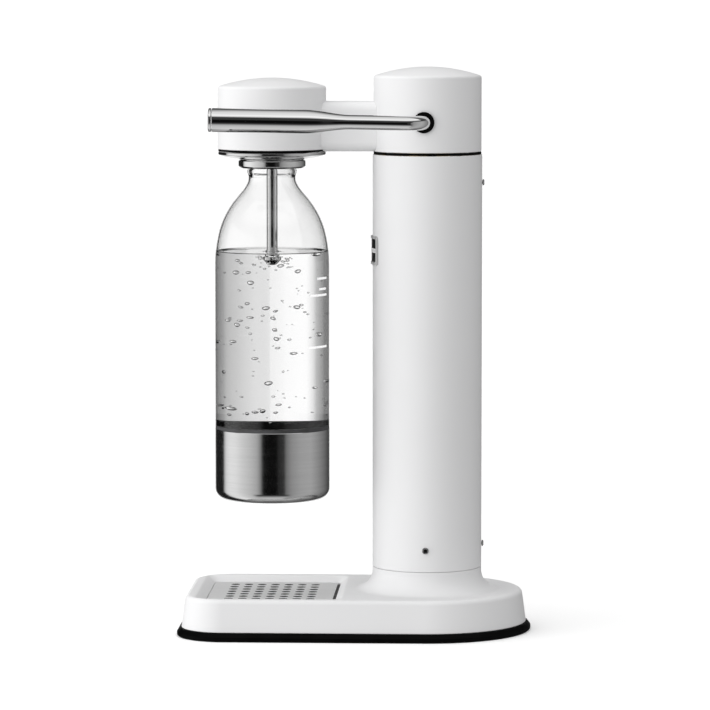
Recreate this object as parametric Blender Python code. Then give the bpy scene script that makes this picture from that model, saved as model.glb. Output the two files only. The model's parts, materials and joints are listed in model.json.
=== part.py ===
"""Hand-operated soda carbonator, in metres, +Z up.

The origin is on the surface that the machine stands on, under the middle of its base.
The column with the gas cylinder is towards +Y, the head, bottle and drip tray are towards
-Y, and the lever is on the +X side. Heights are measured from the standing surface.
"""

import math

import bmesh
import bpy
from mathutils import Matrix

# Gaps and facets
GAP = 0.0003  # kept between neighbouring pieces
MERGE = 0.000001
ROUND_STEPS = 32  # facets round the column, cap and head
CUP_STEPS = 24
BOTTLE_STEPS = 20
PART_STEPS = 16
SMALL_STEPS = 8

# Base
BASE_DEPTH = 0.258
BASE_RADIUS = 0.0765  # half the base's width, and its round back
FRONT_CORNER = 0.0355
FOOT_HEIGHT = 0.0060
FOOT_WIDTH = 0.011
BASE_TOP = 0.030
BASE_SKIN = 0.0026
WALL_FOOT_INSET = 0.0034
WALL_TOP_INSET = 0.0066
BASE_EDGE = 0.0035
PLATE_THICK = 0.002
CYLINDER_OPENING = 0.0325

# Column, cap, arm and head
COLUMN_Y = BASE_DEPTH / 2 - BASE_RADIUS
COLUMN_RADIUS = 0.0401
COLUMN_WALL = 0.002
COLUMN_BOTTOM = 0.0465
COLUMN_TOP = 0.3502
FLARE = 0.014  # concave fillet between base and column
CAP_RADIUS = 0.0395
CAP_BOTTOM = 0.3522
CAP_SHOULDER = 0.4070
TOP = 0.414
HEAD_REACH = 0.114
HEAD_Y = COLUMN_Y - HEAD_REACH
HEAD_RADIUS = 0.0397
HEAD_BOTTOM = 0.3537
HEAD_SHOULDER = 0.3991
HEAD_TOP = 0.4058
SHELL_WALL = 0.0024
SHELL_EDGE = 0.002
ARM_HALF_WIDTH = 0.015
ARM_BOTTOM = 0.3522
ARM_TOP = 0.3886
ARM_EDGE = 0.007

# Drip tray
TRAY_HALF_X = 0.0561
TRAY_FRONT = -0.1086
TRAY_BACK = -0.0135
TRAY_CORNER = 0.004
REAR_SLOT = 0.0018  # finger gap behind the grid
TRAY_SEAT = 0.0230
GRID_TOP = 0.0254
GRID_THICK = 0.001
HOLE_RADIUS = 0.003
HOLE_PITCH_X = 0.0121
HOLE_PITCH_Y = 0.0100
HOLES_X = 8
HOLES_Y = 7
HOLE_FIELD_Y = -0.0620

# Lever
PIVOT_Y = COLUMN_Y - 0.0016
PIVOT_Z = 0.3744
ROD_RADIUS = 0.00525
GRIP_RADIUS = 0.0087
LEVER_X = 0.056
LEVER_BEND = 0.0138
LEVER_RISE = 0.0021  # how much higher the tip is than the pivot
TIP_Y = -0.1036
GRIP_LENGTH = 0.066
TAPER_LENGTH = 0.034
END_CAP = 0.0022
SHAFT_END = -0.0205
SHAFT_BORE = 0.0054
CAM_BASE = 0.0068
CAM_LIFT = 0.003
CAM_ANGLE = 40  # degrees of lever travel that the cam works over
CAM_LEAD = 12  # how far before straight down the rise starts
CAM_FALL = 35

# Gas side
CYLINDER_RADIUS = 0.030
CYLINDER_BOTTOM = 0.008
NECK_TOP = 0.306
VALVE_TOP = 0.348
BLOCK_BOTTOM = 0.3323
BLOCK_TOP = 0.358
GAS_Z = 0.347  # height of the valve block's outlet
TUBE_RADIUS = 0.0018
TUBE_RUN_Z = 0.379
TUBE_DROP_Y = 0.0325  # distance of the rising tube from the column's axis
TUBE_BEND = 0.006

# Bottle
BOTTLE_RADIUS = 0.0420
BOTTLE_WALL = 0.0012
CUP_RADIUS = 0.0422
CUP_BOTTOM = 0.0961
CUP_TOP = 0.1481
LINER_TOP = 0.1500
MOUTH_TOP = 0.3491
TUBE_END = 0.2754

# Screws
SHANK_RADIUS = 0.0015
SCREW_HOLE = 0.0018
SIDE_SCREW_Z = 0.0627
REAR_LOW_Z = 0.0635
REAR_HIGH_Z = 0.3295
COLUMN_SHANK = 0.0055

FACING = {
    "+X": (0, math.pi / 2, 0),
    "-X": (0, -math.pi / 2, 0),
    "+Y": (-math.pi / 2, 0, 0),
    "-Y": (math.pi / 2, 0, 0),
    "+Z": (0, 0, 0),
    "-Z": (math.pi, 0, 0),
}


def finish(name, colour, roughness, metallic=0.0, transmission=0.0):
    """One named material."""
    look = bpy.data.materials.new(name)
    look.use_nodes = True
    shader = look.node_tree.nodes["Principled BSDF"]
    shader.inputs["Base Color"].default_value = (*colour, 1)
    shader.inputs["Roughness"].default_value = roughness
    shader.inputs["Metallic"].default_value = metallic
    shader.inputs["Transmission Weight"].default_value = transmission
    look.diffuse_color = (*colour, 1)
    return look


def add(name, data, look, at=(0, 0, 0), facing="+Z"):
    """Put mesh or curve data into the scene as a named object."""
    piece = bpy.data.objects.new(name, data)
    bpy.context.collection.objects.link(piece)
    piece.location = at
    piece.rotation_euler = FACING[facing]
    if look:
        data.materials.append(look)
    return piece


def from_bmesh(name, mesh, look, at=(0, 0, 0), facing="+Z"):
    """Turn a bmesh into an object, facing outwards and shaded smooth between its sharp edges."""
    bmesh.ops.remove_doubles(mesh, verts=mesh.verts, dist=MERGE)
    bmesh.ops.recalc_face_normals(mesh, faces=mesh.faces)
    data = bpy.data.meshes.new(name)
    mesh.to_mesh(data)
    mesh.free()
    data.shade_smooth()
    data.set_sharp_from_angle(angle=math.radians(35))
    return add(name, data, look, at, facing)


def turned(name, profile, look, at=(0, 0, 0), facing="+Z", steps=PART_STEPS):
    """Solid of revolution. The profile's points are (radius, height), and it closes on
    itself, or along the axis where both its ends lie on it."""
    mesh = bmesh.new()
    corners = [mesh.verts.new((radius, 0, height)) for radius, height in profile]
    edges = [mesh.edges.new(pair) for pair in zip(corners, corners[1:])]
    if profile[0][0] > 0:
        edges.append(mesh.edges.new((corners[-1], corners[0])))
    bmesh.ops.spin(
        mesh, geom=corners + edges, cent=(0, 0, 0), axis=(0, 0, 1), angle=math.tau, steps=steps
    )
    return from_bmesh(name, mesh, look, at, facing)


def ring_sector(name, inner, outer, low, high, half_angle, look, at, facing="+Z", steps=PART_STEPS):
    """Part of a flat ring or of a curved plate, centred on local -Y."""
    mesh = bmesh.new()
    start = math.radians(-90 - half_angle)
    profile = [(inner, low), (outer, low), (outer, high), (inner, high)]
    corners = [
        mesh.verts.new((radius * math.cos(start), radius * math.sin(start), height))
        for radius, height in profile
    ]
    face = mesh.faces.new(corners)
    bmesh.ops.spin(
        mesh,
        geom=[face],
        cent=(0, 0, 0),
        axis=(0, 0, 1),
        angle=math.radians(2 * half_angle),
        steps=steps,
    )
    return from_bmesh(name, mesh, look, at, facing)


def loft(name, rings, look, at=(0, 0, 0), loop=False):
    """Skin over rings of points. It is capped at both ends, or joined into a loop."""
    mesh = bmesh.new()
    rows = [[mesh.verts.new(point) for point in ring] for ring in rings]
    pairs = list(zip(rows, rows[1:]))
    if loop:
        pairs.append((rows[-1], rows[0]))
    else:
        mesh.faces.new(rows[0])
        mesh.faces.new(rows[-1])
    count = len(rows[0])
    for lower, upper in pairs:
        for i in range(count):
            j = (i + 1) % count
            mesh.faces.new((lower[i], lower[j], upper[j], upper[i]))
    return from_bmesh(name, mesh, look, at)


def cut(target, cutter):
    """Take the cutter's shape out of the target, and hide the cutter."""
    combine(target, cutter, "DIFFERENCE")


def join(target, other):
    """Add the other shape to the target, and hide the other."""
    combine(target, other, "UNION")


def combine(target, other, operation):
    other.hide_render = True
    other.display_type = "WIRE"
    change = target.modifiers.new(other.name, "BOOLEAN")
    change.operation = operation
    change.solver = "EXACT"
    change.object = other


def drill(target, radius, length, at, facing="+Z", steps=SMALL_STEPS):
    """Round hole that starts at a point and runs along a direction."""
    rod = [(0, 0), (radius, 0), (radius, length), (0, length)]
    cut(target, turned(target.name + "_drill", rod, None, at, facing, steps))


def arc(centre, radius, start, end, steps):
    """Points along an arc, in degrees."""
    turn = [math.radians(start + (end - start) * i / steps) for i in range(steps + 1)]
    return [(centre[0] + radius * math.cos(a), centre[1] + radius * math.sin(a)) for a in turn]


def rounded_rectangle(half_width, low, high, radius, steps=4):
    """Outline of a rectangle with round corners, centred across and from low to high."""
    points = []
    x = half_width - radius
    for cx, cy, start in (
        (x, high - radius, 0),
        (-x, high - radius, 90),
        (-x, low + radius, 180),
        (x, low + radius, 270),
    ):
        points += arc((cx, cy), radius, start, start + 90, steps)
    return points


def base_outline(inset, rear_steps=24, corner_steps=6):
    """Outline of the base from above: round at the back, rounded corners in front."""
    radius = BASE_RADIUS - inset
    corner = FRONT_CORNER - inset
    front = -BASE_DEPTH / 2 + inset + corner
    points = arc((0, COLUMN_Y), radius, 0, 180, rear_steps)
    points += arc((corner - radius, front), corner, 180, 270, corner_steps)
    points += arc((radius - corner, front), corner, 270, 360, corner_steps)
    return points


def level(outline, z):
    return [(x, y, z) for x, y in outline]


def joint_empty(name, at):
    """Empty on a joint's axis, which the moving pieces are parented to."""
    empty = bpy.data.objects.new(name, None)
    bpy.context.collection.objects.link(empty)
    empty.location = at
    return empty


def move_with(empty, *pieces):
    for piece in pieces:
        piece.parent = empty
        piece.matrix_parent_inverse = Matrix.Translation(empty.location).inverted()


def domed_shell(radius, bottom, shoulder, top):
    """Half-section of a domed cover with an open bottom."""

    def skin(r, low, rim, crown, edge, steps):
        points = [(r, low)] + arc((r - edge, rim - edge), edge, 0, 60, steps // 2)
        reach, height = points[-1]
        rise = crown - height
        sphere = (reach**2 + rise**2) / (2 * rise)
        for i in range(1, steps + 1):
            x = reach * (1 - i / steps)
            points.append((x, crown - sphere + math.sqrt(sphere**2 - x**2)))
        return points

    wall = SHELL_WALL
    outside = skin(radius, bottom, shoulder, top, SHELL_EDGE, 4)
    inside = skin(radius - wall, bottom, shoulder - wall, top - wall, SHELL_EDGE / 2, 2)
    outside[-1] = (0, top)
    inside[-1] = (0, top - wall)
    return outside[::-1] + inside


def tray_outline(grow, radius, rear_gap=0.0):
    """Outline of the tray's recess, made larger all round, with its back edge moved forward."""
    back = TRAY_BACK + grow - rear_gap
    return rounded_rectangle(TRAY_HALF_X + grow, TRAY_FRONT - grow, back, radius, 3)


def screw(name, look, at, facing, shank):
    """Button-head screw whose head sits on the point and whose shank runs into the part."""
    profile = [
        (0, 0.0005),
        (0.0013, 0.0005),
        (0.0013, 0.0013),
        (0.0018, 0.0012),
        (0.0024, 0.0006),
        (0.0024, 0),
        (SHANK_RADIUS, 0),
        (SHANK_RADIUS, -shank),
        (0, -shank),
    ]
    return turned(name, profile, look, at, facing, SMALL_STEPS)


def coil(name, radius, wire, low, high, turns, look, at, facing="+Z"):
    """Round coil spring along its local axis."""
    data = bpy.data.curves.new(name, "CURVE")
    data.dimensions = "3D"
    data.bevel_depth = wire
    data.bevel_resolution = 0
    data.render_resolution_u = 0
    data.use_fill_caps = True
    per_turn = 9
    count = int(turns * per_turn)
    spline = data.splines.new("POLY")
    spline.points.add(count)
    for i, point in enumerate(spline.points):
        turn = math.tau * i / per_turn
        z = low + (high - low) * i / count
        point.co = (radius * math.cos(turn), radius * math.sin(turn), z, 1)
    return add(name, data, look, at, facing)


def rod_curve(name, points, radii, look, at, sides=2):
    """Round rod along points, with its own radius at each."""
    data = bpy.data.curves.new(name, "CURVE")
    data.dimensions = "3D"
    data.bevel_depth = 0.001
    data.bevel_resolution = sides
    data.render_resolution_u = 0
    data.use_fill_caps = True
    spline = data.splines.new("POLY")
    spline.points.add(len(points) - 1)
    for point, place, radius in zip(spline.points, points, radii):
        point.co = (*place, 1)
        point.radius = radius / data.bevel_depth
    return add(name, data, look, at)


def build_base(white, rubber, metal, steel):
    foot_profile = [
        (0.0010, 0),
        (0, 0.0012),
        (0, 0.0032),
        (0.0008, 0.0050),
        (0.0022, FOOT_HEIGHT),
        (FOOT_WIDTH, FOOT_HEIGHT),
        (FOOT_WIDTH, 0),
    ]
    loft("foot_ring", [level(base_outline(i), z) for i, z in foot_profile], rubber, loop=True)

    shell_bottom = FOOT_HEIGHT + GAP
    edge_low = BASE_TOP - BASE_EDGE
    wall = [(WALL_FOOT_INSET, shell_bottom)]
    for inset, z in arc((WALL_TOP_INSET + BASE_EDGE, edge_low), BASE_EDGE, 180, 90, 3):
        wall.append((inset, z))
    shell = loft("base_shell", [level(base_outline(i), z) for i, z in wall], white)

    ceiling = BASE_TOP - BASE_SKIN
    cavity = [
        level(base_outline(WALL_FOOT_INSET + BASE_SKIN), 0.006),
        level(base_outline(WALL_TOP_INSET + BASE_SKIN), ceiling),
    ]
    flare_profile = [(0, ceiling + 0.0006), (COLUMN_RADIUS + FLARE + 0.0008, ceiling + 0.0006)]
    flare_centre = (COLUMN_RADIUS + FLARE, BASE_TOP + FLARE)
    flare_profile += arc(flare_centre, FLARE, 266, 180, 5)
    flare_profile += [(COLUMN_RADIUS, COLUMN_BOTTOM), (0, COLUMN_BOTTOM)]
    column_at = (0, COLUMN_Y, 0)
    join(shell, turned("shell_flare", flare_profile, None, column_at, steps=ROUND_STEPS))
    cut(shell, loft("shell_cavity", cavity, None))
    bore = COLUMN_RADIUS - 0.0025
    bore_profile = [(0, 0.015), (bore, 0.015), (bore, 0.06), (0, 0.06)]
    cut(shell, turned("shell_bore", bore_profile, None, column_at, steps=ROUND_STEPS))

    frame = [level(tray_outline(0.007, 0.010), z) for z in (0.0205, 0.0284)]
    join(shell, loft("shell_tray_frame", frame, None))
    recess = [
        level(tray_outline(0, TRAY_CORNER), TRAY_SEAT),
        level(tray_outline(0, TRAY_CORNER), GRID_TOP - 0.0004),
        level(tray_outline(0.0048, TRAY_CORNER + 0.003), BASE_TOP + 0.0003),
    ]
    cut(shell, loft("shell_recess", recess, None))
    opening = [level(tray_outline(-0.0038, 0.003), z) for z in (0.018, 0.0236)]
    cut(shell, loft("shell_opening", opening, None))

    plate_bottom = shell_bottom
    plate_top = plate_bottom + PLATE_THICK
    plate_inset = WALL_FOOT_INSET + BASE_SKIN + 2 * GAP
    plate_rings = [level(base_outline(plate_inset), z) for z in (plate_bottom, plate_top)]
    plate = loft("base_plate", plate_rings, metal)
    below = (0, COLUMN_Y, 0)
    drill(plate, CYLINDER_OPENING, 0.02, below, steps=ROUND_STEPS)

    boss_bottom = plate_top + GAP
    under_tray = TRAY_SEAT - 0.001
    under_top = BASE_TOP - 0.0016
    for name, x, y, boss_top in (
        ("base_screw_front_right", 0.060, -0.080, under_tray),
        ("base_screw_front_left", -0.060, -0.080, under_tray),
        ("base_screw_rear_right", 0.044, 0.0965, under_top),
        ("base_screw_rear_left", -0.044, 0.0965, under_top),
    ):
        boss = [(0, boss_bottom), (0.0042, boss_bottom), (0.0042, boss_top), (0, boss_top)]
        join(shell, turned(name + "_boss", boss, None, (x, y, 0), steps=SMALL_STEPS))
        drill(shell, SCREW_HOLE, 0.012, (x, y, 0.006))
        drill(plate, SCREW_HOLE, 0.010, (x, y, 0.003))
        screw(name, steel, (x, y, plate_bottom - GAP), "-Z", 0.009)

    flange = ceiling - GAP
    spigot_profile = [
        (0.052, flange - 0.0036),
        (0.052, flange),
        (0.0371, flange),
        (0.0371, 0.072),
        (0.033, 0.072),
        (0.033, flange - 0.0036),
    ]
    spigot = turned("column_spigot", spigot_profile, metal, column_at, steps=ROUND_STEPS)
    return spigot


def build_tray(steel, dark):
    seat = TRAY_SEAT + GAP
    flange_top = seat + 0.0008
    pan_rings = [
        level(tray_outline(-0.0064, 0.003), 0.0120),
        level(tray_outline(-0.0054, 0.003), flange_top),
        level(tray_outline(-0.0004, 0.0036), flange_top),
        level(tray_outline(-0.0004, 0.0036), seat),
        level(tray_outline(-0.0042, 0.003), seat),
        level(tray_outline(-0.0052, 0.003), 0.0108),
    ]
    pan = loft("drip_tray_pan", pan_rings, dark)

    grid_bottom = GRID_TOP - GRID_THICK
    grid_edge = tray_outline(-0.0006, 0.0034, REAR_SLOT)
    grid = loft("drip_grid", [level(grid_edge, z) for z in (grid_bottom, GRID_TOP)], steel)
    holes = bmesh.new()
    for column in range(HOLES_X):
        for row in range(HOLES_Y):
            x = (column - (HOLES_X - 1) / 2) * HOLE_PITCH_X
            y = HOLE_FIELD_Y + (row - (HOLES_Y - 1) / 2) * HOLE_PITCH_Y
            place = Matrix.Translation((x, y, GRID_TOP - GRID_THICK / 2))
            bmesh.ops.create_cone(
                holes,
                cap_ends=True,
                segments=6,
                radius1=HOLE_RADIUS,
                radius2=HOLE_RADIUS,
                depth=0.004,
                matrix=place,
            )
    cut(grid, from_bmesh("grid_holes", holes, None))

    tray_y = (TRAY_FRONT + TRAY_BACK) / 2
    move_with(joint_empty("tray_lift", (0, tray_y, TRAY_SEAT)), pan)
    move_with(joint_empty("grid_lift", (0, tray_y, grid_bottom)), grid)


def build_column(white, rubber, metal, steel, spigot, dark):
    at = (0, COLUMN_Y, 0)
    inner = COLUMN_RADIUS - COLUMN_WALL
    low = COLUMN_BOTTOM + GAP
    high = COLUMN_TOP - GAP
    tube_profile = [(inner, low), (COLUMN_RADIUS, low), (COLUMN_RADIUS, high), (inner, high)]
    tube = turned("column_tube", tube_profile, white, at, steps=ROUND_STEPS)

    bracket_profile = [
        (0.0375, 0.332),
        (0.0155, 0.332),
        (0.0155, 0.326),
        (0.0345, 0.326),
        (0.0345, 0.318),
        (0.0375, 0.318),
    ]
    bracket = turned("upper_bracket", bracket_profile, metal, at, steps=ROUND_STEPS)

    seat = COLUMN_RADIUS + GAP
    for name, holder, z, facing, x, y in (
        ("column_screw_right", spigot, SIDE_SCREW_Z, "+X", 1, 0),
        ("column_screw_left", spigot, SIDE_SCREW_Z, "-X", -1, 0),
        ("column_screw_rear_low", spigot, REAR_LOW_Z, "+Y", 0, 1),
        ("column_screw_rear_high", bracket, REAR_HIGH_Z, "+Y", 0, 1),
    ):
        start = 0.030
        drill_at = (x * start, COLUMN_Y + y * start, z)
        drill(tube, SCREW_HOLE, 0.012, drill_at, facing)
        drill(holder, SCREW_HOLE, 0.012, drill_at, facing)
        screw(name, steel, (x * seat, COLUMN_Y + y * seat, z), facing, COLUMN_SHANK)

    gasket = [
        (0.0365, COLUMN_TOP),
        (0.0394, COLUMN_TOP),
        (0.0394, CAP_BOTTOM - GAP),
        (0.0365, CAP_BOTTOM - GAP),
    ]
    turned("column_gasket", gasket, rubber, at, steps=ROUND_STEPS)

    badge_middle = 0.280
    outside = COLUMN_RADIUS + GAP
    low = badge_middle - 0.0105
    high = badge_middle + 0.0105
    frame = ring_sector("badge_frame", outside, 0.0415, low, high, 28.5, metal, at, steps=8)
    edge = 0.0018
    window = ring_sector(
        "badge_window", 0.038, 0.044, low + edge, high - edge, 25.8, None, at, steps=8
    )
    cut(frame, window)
    edge += GAP
    ring_sector(
        "badge_plate", outside, 0.0409, low + edge, high - edge, 25.3, dark, at, steps=8
    )


def build_top(white, rubber, chrome, steel):
    column_at = (0, COLUMN_Y, 0)
    head_at = (0, HEAD_Y, 0)
    cap_profile = domed_shell(CAP_RADIUS, CAP_BOTTOM, CAP_SHOULDER, TOP)
    cap = turned("column_cap", cap_profile, white, column_at, steps=ROUND_STEPS)
    head_profile = domed_shell(HEAD_RADIUS, HEAD_BOTTOM, HEAD_SHOULDER, HEAD_TOP)
    head = turned("head_shell", head_profile, white, head_at, steps=ROUND_STEPS)

    def bar(name, half_width, low, high, radius, look, start, end):
        outline = rounded_rectangle(half_width, low, high, radius)
        rings = [[(x, y, z) for x, z in outline] for y in (start, end)]
        return loft(name, rings, look)

    wall = SHELL_WALL
    inner_width = ARM_HALF_WIDTH - wall
    inner_low = ARM_BOTTOM + wall
    inner_high = ARM_TOP - wall
    back = COLUMN_Y - 0.028
    front = HEAD_Y + 0.028
    arm = bar("arm_housing", ARM_HALF_WIDTH, ARM_BOTTOM, ARM_TOP, ARM_EDGE, white, front, back)
    cut(arm, bar("arm_inside", inner_width, inner_low, inner_high, 0.005, None, -0.05, 0.04))
    for radius, at in ((CAP_RADIUS + GAP, column_at), (HEAD_RADIUS + GAP, head_at)):
        saddle = [(0, 0.34), (radius, 0.34), (radius, 0.41), (0, 0.41)]
        cut(arm, turned("arm_saddle", saddle, None, at, steps=ROUND_STEPS))
    window = inner_width - 0.0006
    low = inner_low + 0.0006
    high = inner_high - 0.0006
    cut(cap, bar("cap_window", window, low, high, 0.004, None, COLUMN_Y - 0.045, COLUMN_Y - 0.020))
    cut(head, bar("head_window", window, low, high, 0.004, None, HEAD_Y + 0.020, HEAD_Y + 0.045))
    drill(cap, 0.0073, 0.02, (0.030, PIVOT_Y, PIVOT_Z), "+X", PART_STEPS)

    gasket_top = HEAD_BOTTOM - GAP
    gasket_low = gasket_top - 0.0013
    gasket = [
        (0.0300, gasket_low),
        (0.0394, gasket_low),
        (0.0394, gasket_top),
        (0.0300, gasket_top),
    ]
    turned("head_gasket", gasket, rubber, head_at, steps=ROUND_STEPS)

    flange_top = gasket_low - GAP
    flange = [
        (0.0205, 0.3498),
        (0.0386, flange_top),
        (0.0396, flange_top - 0.0003),
        (0.0396, flange_top - 0.0019),
        (0.0374, 0.3488),
        (0.0325, 0.3476),
        (0.0280, 0.3469),
        (0.0265, 0.3468),
        (0.0205, 0.3468),
    ]
    turned("nozzle_flange", flange, chrome, head_at, steps=ROUND_STEPS)

    collar = [
        (0.0174, 0.3398),
        (0.0236, 0.3398),
        (0.0247, 0.3409),
        (0.0247, 0.3452),
        (0.0236, 0.3464),
        (0.0174, 0.3464),
    ]
    turned("bottle_collar", collar, chrome, head_at, steps=ROUND_STEPS)


def build_nozzle(rubber, metal, brass, steel):
    at = (0, HEAD_Y, 0)
    under = HEAD_BOTTOM - 0.0016
    body = [
        (0.0043, under),
        (0.0198, under),
        (0.0198, HEAD_BOTTOM),
        (0.0365, HEAD_BOTTOM),
        (0.0365, 0.3563),
        (0.0160, 0.3563),
        (0.0160, 0.3660),
        (0.0043, 0.3660),
    ]
    turned("nozzle_body", body, metal, at)
    seal = [
        (0.0080, MOUTH_TOP + GAP),
        (0.0165, MOUTH_TOP + GAP),
        (0.0165, under - GAP),
        (0.0080, under - GAP),
    ]
    turned("nozzle_seal", seal, rubber, at)
    tube = [(0.0016, TUBE_END), (0.0040, TUBE_END), (0.0040, 0.3655), (0.0016, 0.3655)]
    turned("carbonation_tube", tube, steel, at, steps=SMALL_STEPS)
    tip_top = TUBE_END - GAP
    tip = [
        (0, TUBE_END + 0.006),
        (0.0013, TUBE_END + 0.006),
        (0.0013, tip_top),
        (0.0049, tip_top),
        (0.0049, tip_top - 0.0024),
        (0.0022, tip_top - 0.0058),
        (0, tip_top - 0.0065),
    ]
    turned("nozzle_tip", tip, steel, at, steps=SMALL_STEPS)

    vent_at = (0.026, HEAD_Y, 0)
    vent = [
        (0, 0.3566),
        (0.0045, 0.3566),
        (0.0045, 0.3720),
        (0.0022, 0.3720),
        (0.0022, 0.3600),
        (0, 0.3600),
    ]
    turned("vent_valve", vent, brass, vent_at, steps=SMALL_STEPS)
    poppet = [
        (0, 0.3603),
        (0.0019, 0.3603),
        (0.0019, 0.3723),
        (0.0032, 0.3723),
        (0.0032, 0.3740),
        (0, 0.3745),
    ]
    poppet = turned("vent_poppet", poppet, steel, vent_at, steps=SMALL_STEPS)
    move_with(joint_empty("vent_lift", (0.026, HEAD_Y, 0.3723)), poppet)


def build_lever(chrome, rubber, metal, steel, dark):
    pivot = (0, PIVOT_Y, PIVOT_Z)
    end = TIP_Y - PIVOT_Y + END_CAP + GAP
    bend = arc((LEVER_X - LEVER_BEND, -LEVER_BEND), LEVER_BEND, 90, 0, 5)
    route = [(SHAFT_END, 0)] + bend
    grip_back = end + GRIP_LENGTH
    taper_back = grip_back + TAPER_LENGTH
    radii = [ROD_RADIUS] * len(route)
    taper_steps = 6
    for i in range(taper_steps + 1):
        share = i / taper_steps
        blend = share * share * (3 - 2 * share)
        route.append((LEVER_X, taper_back + (grip_back - taper_back) * share))
        radii.append(ROD_RADIUS + (GRIP_RADIUS - ROD_RADIUS) * blend)
    route += [(LEVER_X, end + 0.0006), (LEVER_X, end)]
    radii += [GRIP_RADIUS, GRIP_RADIUS - 0.0006]
    points = [(x, y, LEVER_RISE * max(0, -y / -end) if y < -LEVER_BEND else 0) for x, y in route]
    handle = rod_curve("lever_handle", points, radii, chrome, pivot, sides=4)

    tilt = math.atan2(LEVER_RISE, -end)
    disc = [
        (0, 0),
        (GRIP_RADIUS - 0.0006, 0),
        (GRIP_RADIUS, 0.0006),
        (GRIP_RADIUS, END_CAP - 0.0006),
        (GRIP_RADIUS - 0.0006, END_CAP),
        (0, END_CAP),
    ]
    disc_at = (LEVER_X, PIVOT_Y + end - GAP, PIVOT_Z + LEVER_RISE)
    cap = turned("lever_end_cap", disc, chrome, disc_at, "-Y", SMALL_STEPS)
    cap.rotation_euler.x -= tilt

    outer_bush = [
        (SHAFT_BORE, 0.0340),
        (0.0070, 0.0340),
        (0.0070, CAP_RADIUS + GAP),
        (0.0077, CAP_RADIUS + GAP),
        (0.0077, 0.0412),
        (0.0072, 0.0416),
        (SHAFT_BORE, 0.0416),
    ]
    turned("lever_bush_outer", outer_bush, rubber, pivot, "+X")
    inner_bush = [
        (SHAFT_BORE, -0.0178),
        (0.0068, -0.0178),
        (0.0068, -0.0142),
        (0.0088, -0.0142),
        (0.0088, -0.0130),
        (SHAFT_BORE, -0.0130),
    ]
    turned("lever_bush_inner", inner_bush, dark, pivot, "+X")

    outline = []
    for degrees in range(-75, 285, 15):
        rise = degrees + CAM_LEAD
        if 0 <= rise <= CAM_ANGLE:
            lift = rise / CAM_ANGLE
        elif CAM_ANGLE < rise < CAM_ANGLE + CAM_FALL:
            lift = 1 - (rise - CAM_ANGLE) / CAM_FALL
        else:
            lift = 0
        radius = CAM_BASE + CAM_LIFT * lift
        angle = math.radians(degrees)
        outline.append((-radius * math.sin(angle), -radius * math.cos(angle)))
        if degrees == 15:
            peak = CAM_BASE + CAM_LIFT
            angle = math.radians(CAM_ANGLE - CAM_LEAD)
            outline.append((-peak * math.sin(angle), -peak * math.cos(angle)))
    cam_rings = [[(x, y, z) for y, z in outline] for x in (-0.005, 0.005)]
    cam = loft("lever_cam", cam_rings, steel, pivot)
    drill(cam, SHAFT_BORE, 0.04, (-0.02, PIVOT_Y, PIVOT_Z), "+X", PART_STEPS)

    clip = ring_sector(
        "shaft_clip", SHAFT_BORE, 0.0076, -0.0192, -0.0182, 145, steel, pivot, "+X"
    )
    move_with(joint_empty("lever_hinge", pivot), handle, cap, cam, clip)

    ear_out = 0.0175
    ear_in = 0.0145
    foot = BLOCK_TOP + GAP
    floor = foot + 0.0025
    ear_top = PIVOT_Z + 0.008
    bracket = [
        (-ear_out, foot),
        (ear_out, foot),
        (ear_out, ear_top),
        (ear_in, ear_top),
        (ear_in, floor),
        (-ear_in, floor),
        (-ear_in, ear_top),
        (-ear_out, ear_top),
    ]
    rings = [[(x, PIVOT_Y + y, z) for x, z in bracket] for y in (-0.010, 0.010)]
    bracket = loft("shaft_bracket", rings, metal)
    drill(bracket, 0.0071, 0.01, (-0.022, PIVOT_Y, PIVOT_Z), "+X", PART_STEPS)
    drill(bracket, 0.0060, 0.01, (0.012, PIVOT_Y, PIVOT_Z), "+X", PART_STEPS)
    drill(bracket, 0.0055, 0.01, (0, COLUMN_Y, foot - 0.004), "+Z", PART_STEPS)
    coil("lever_return_spring", 0.0072, 0.0005, 0.0062, 0.0136, 4, steel, pivot, "+X")


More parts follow.
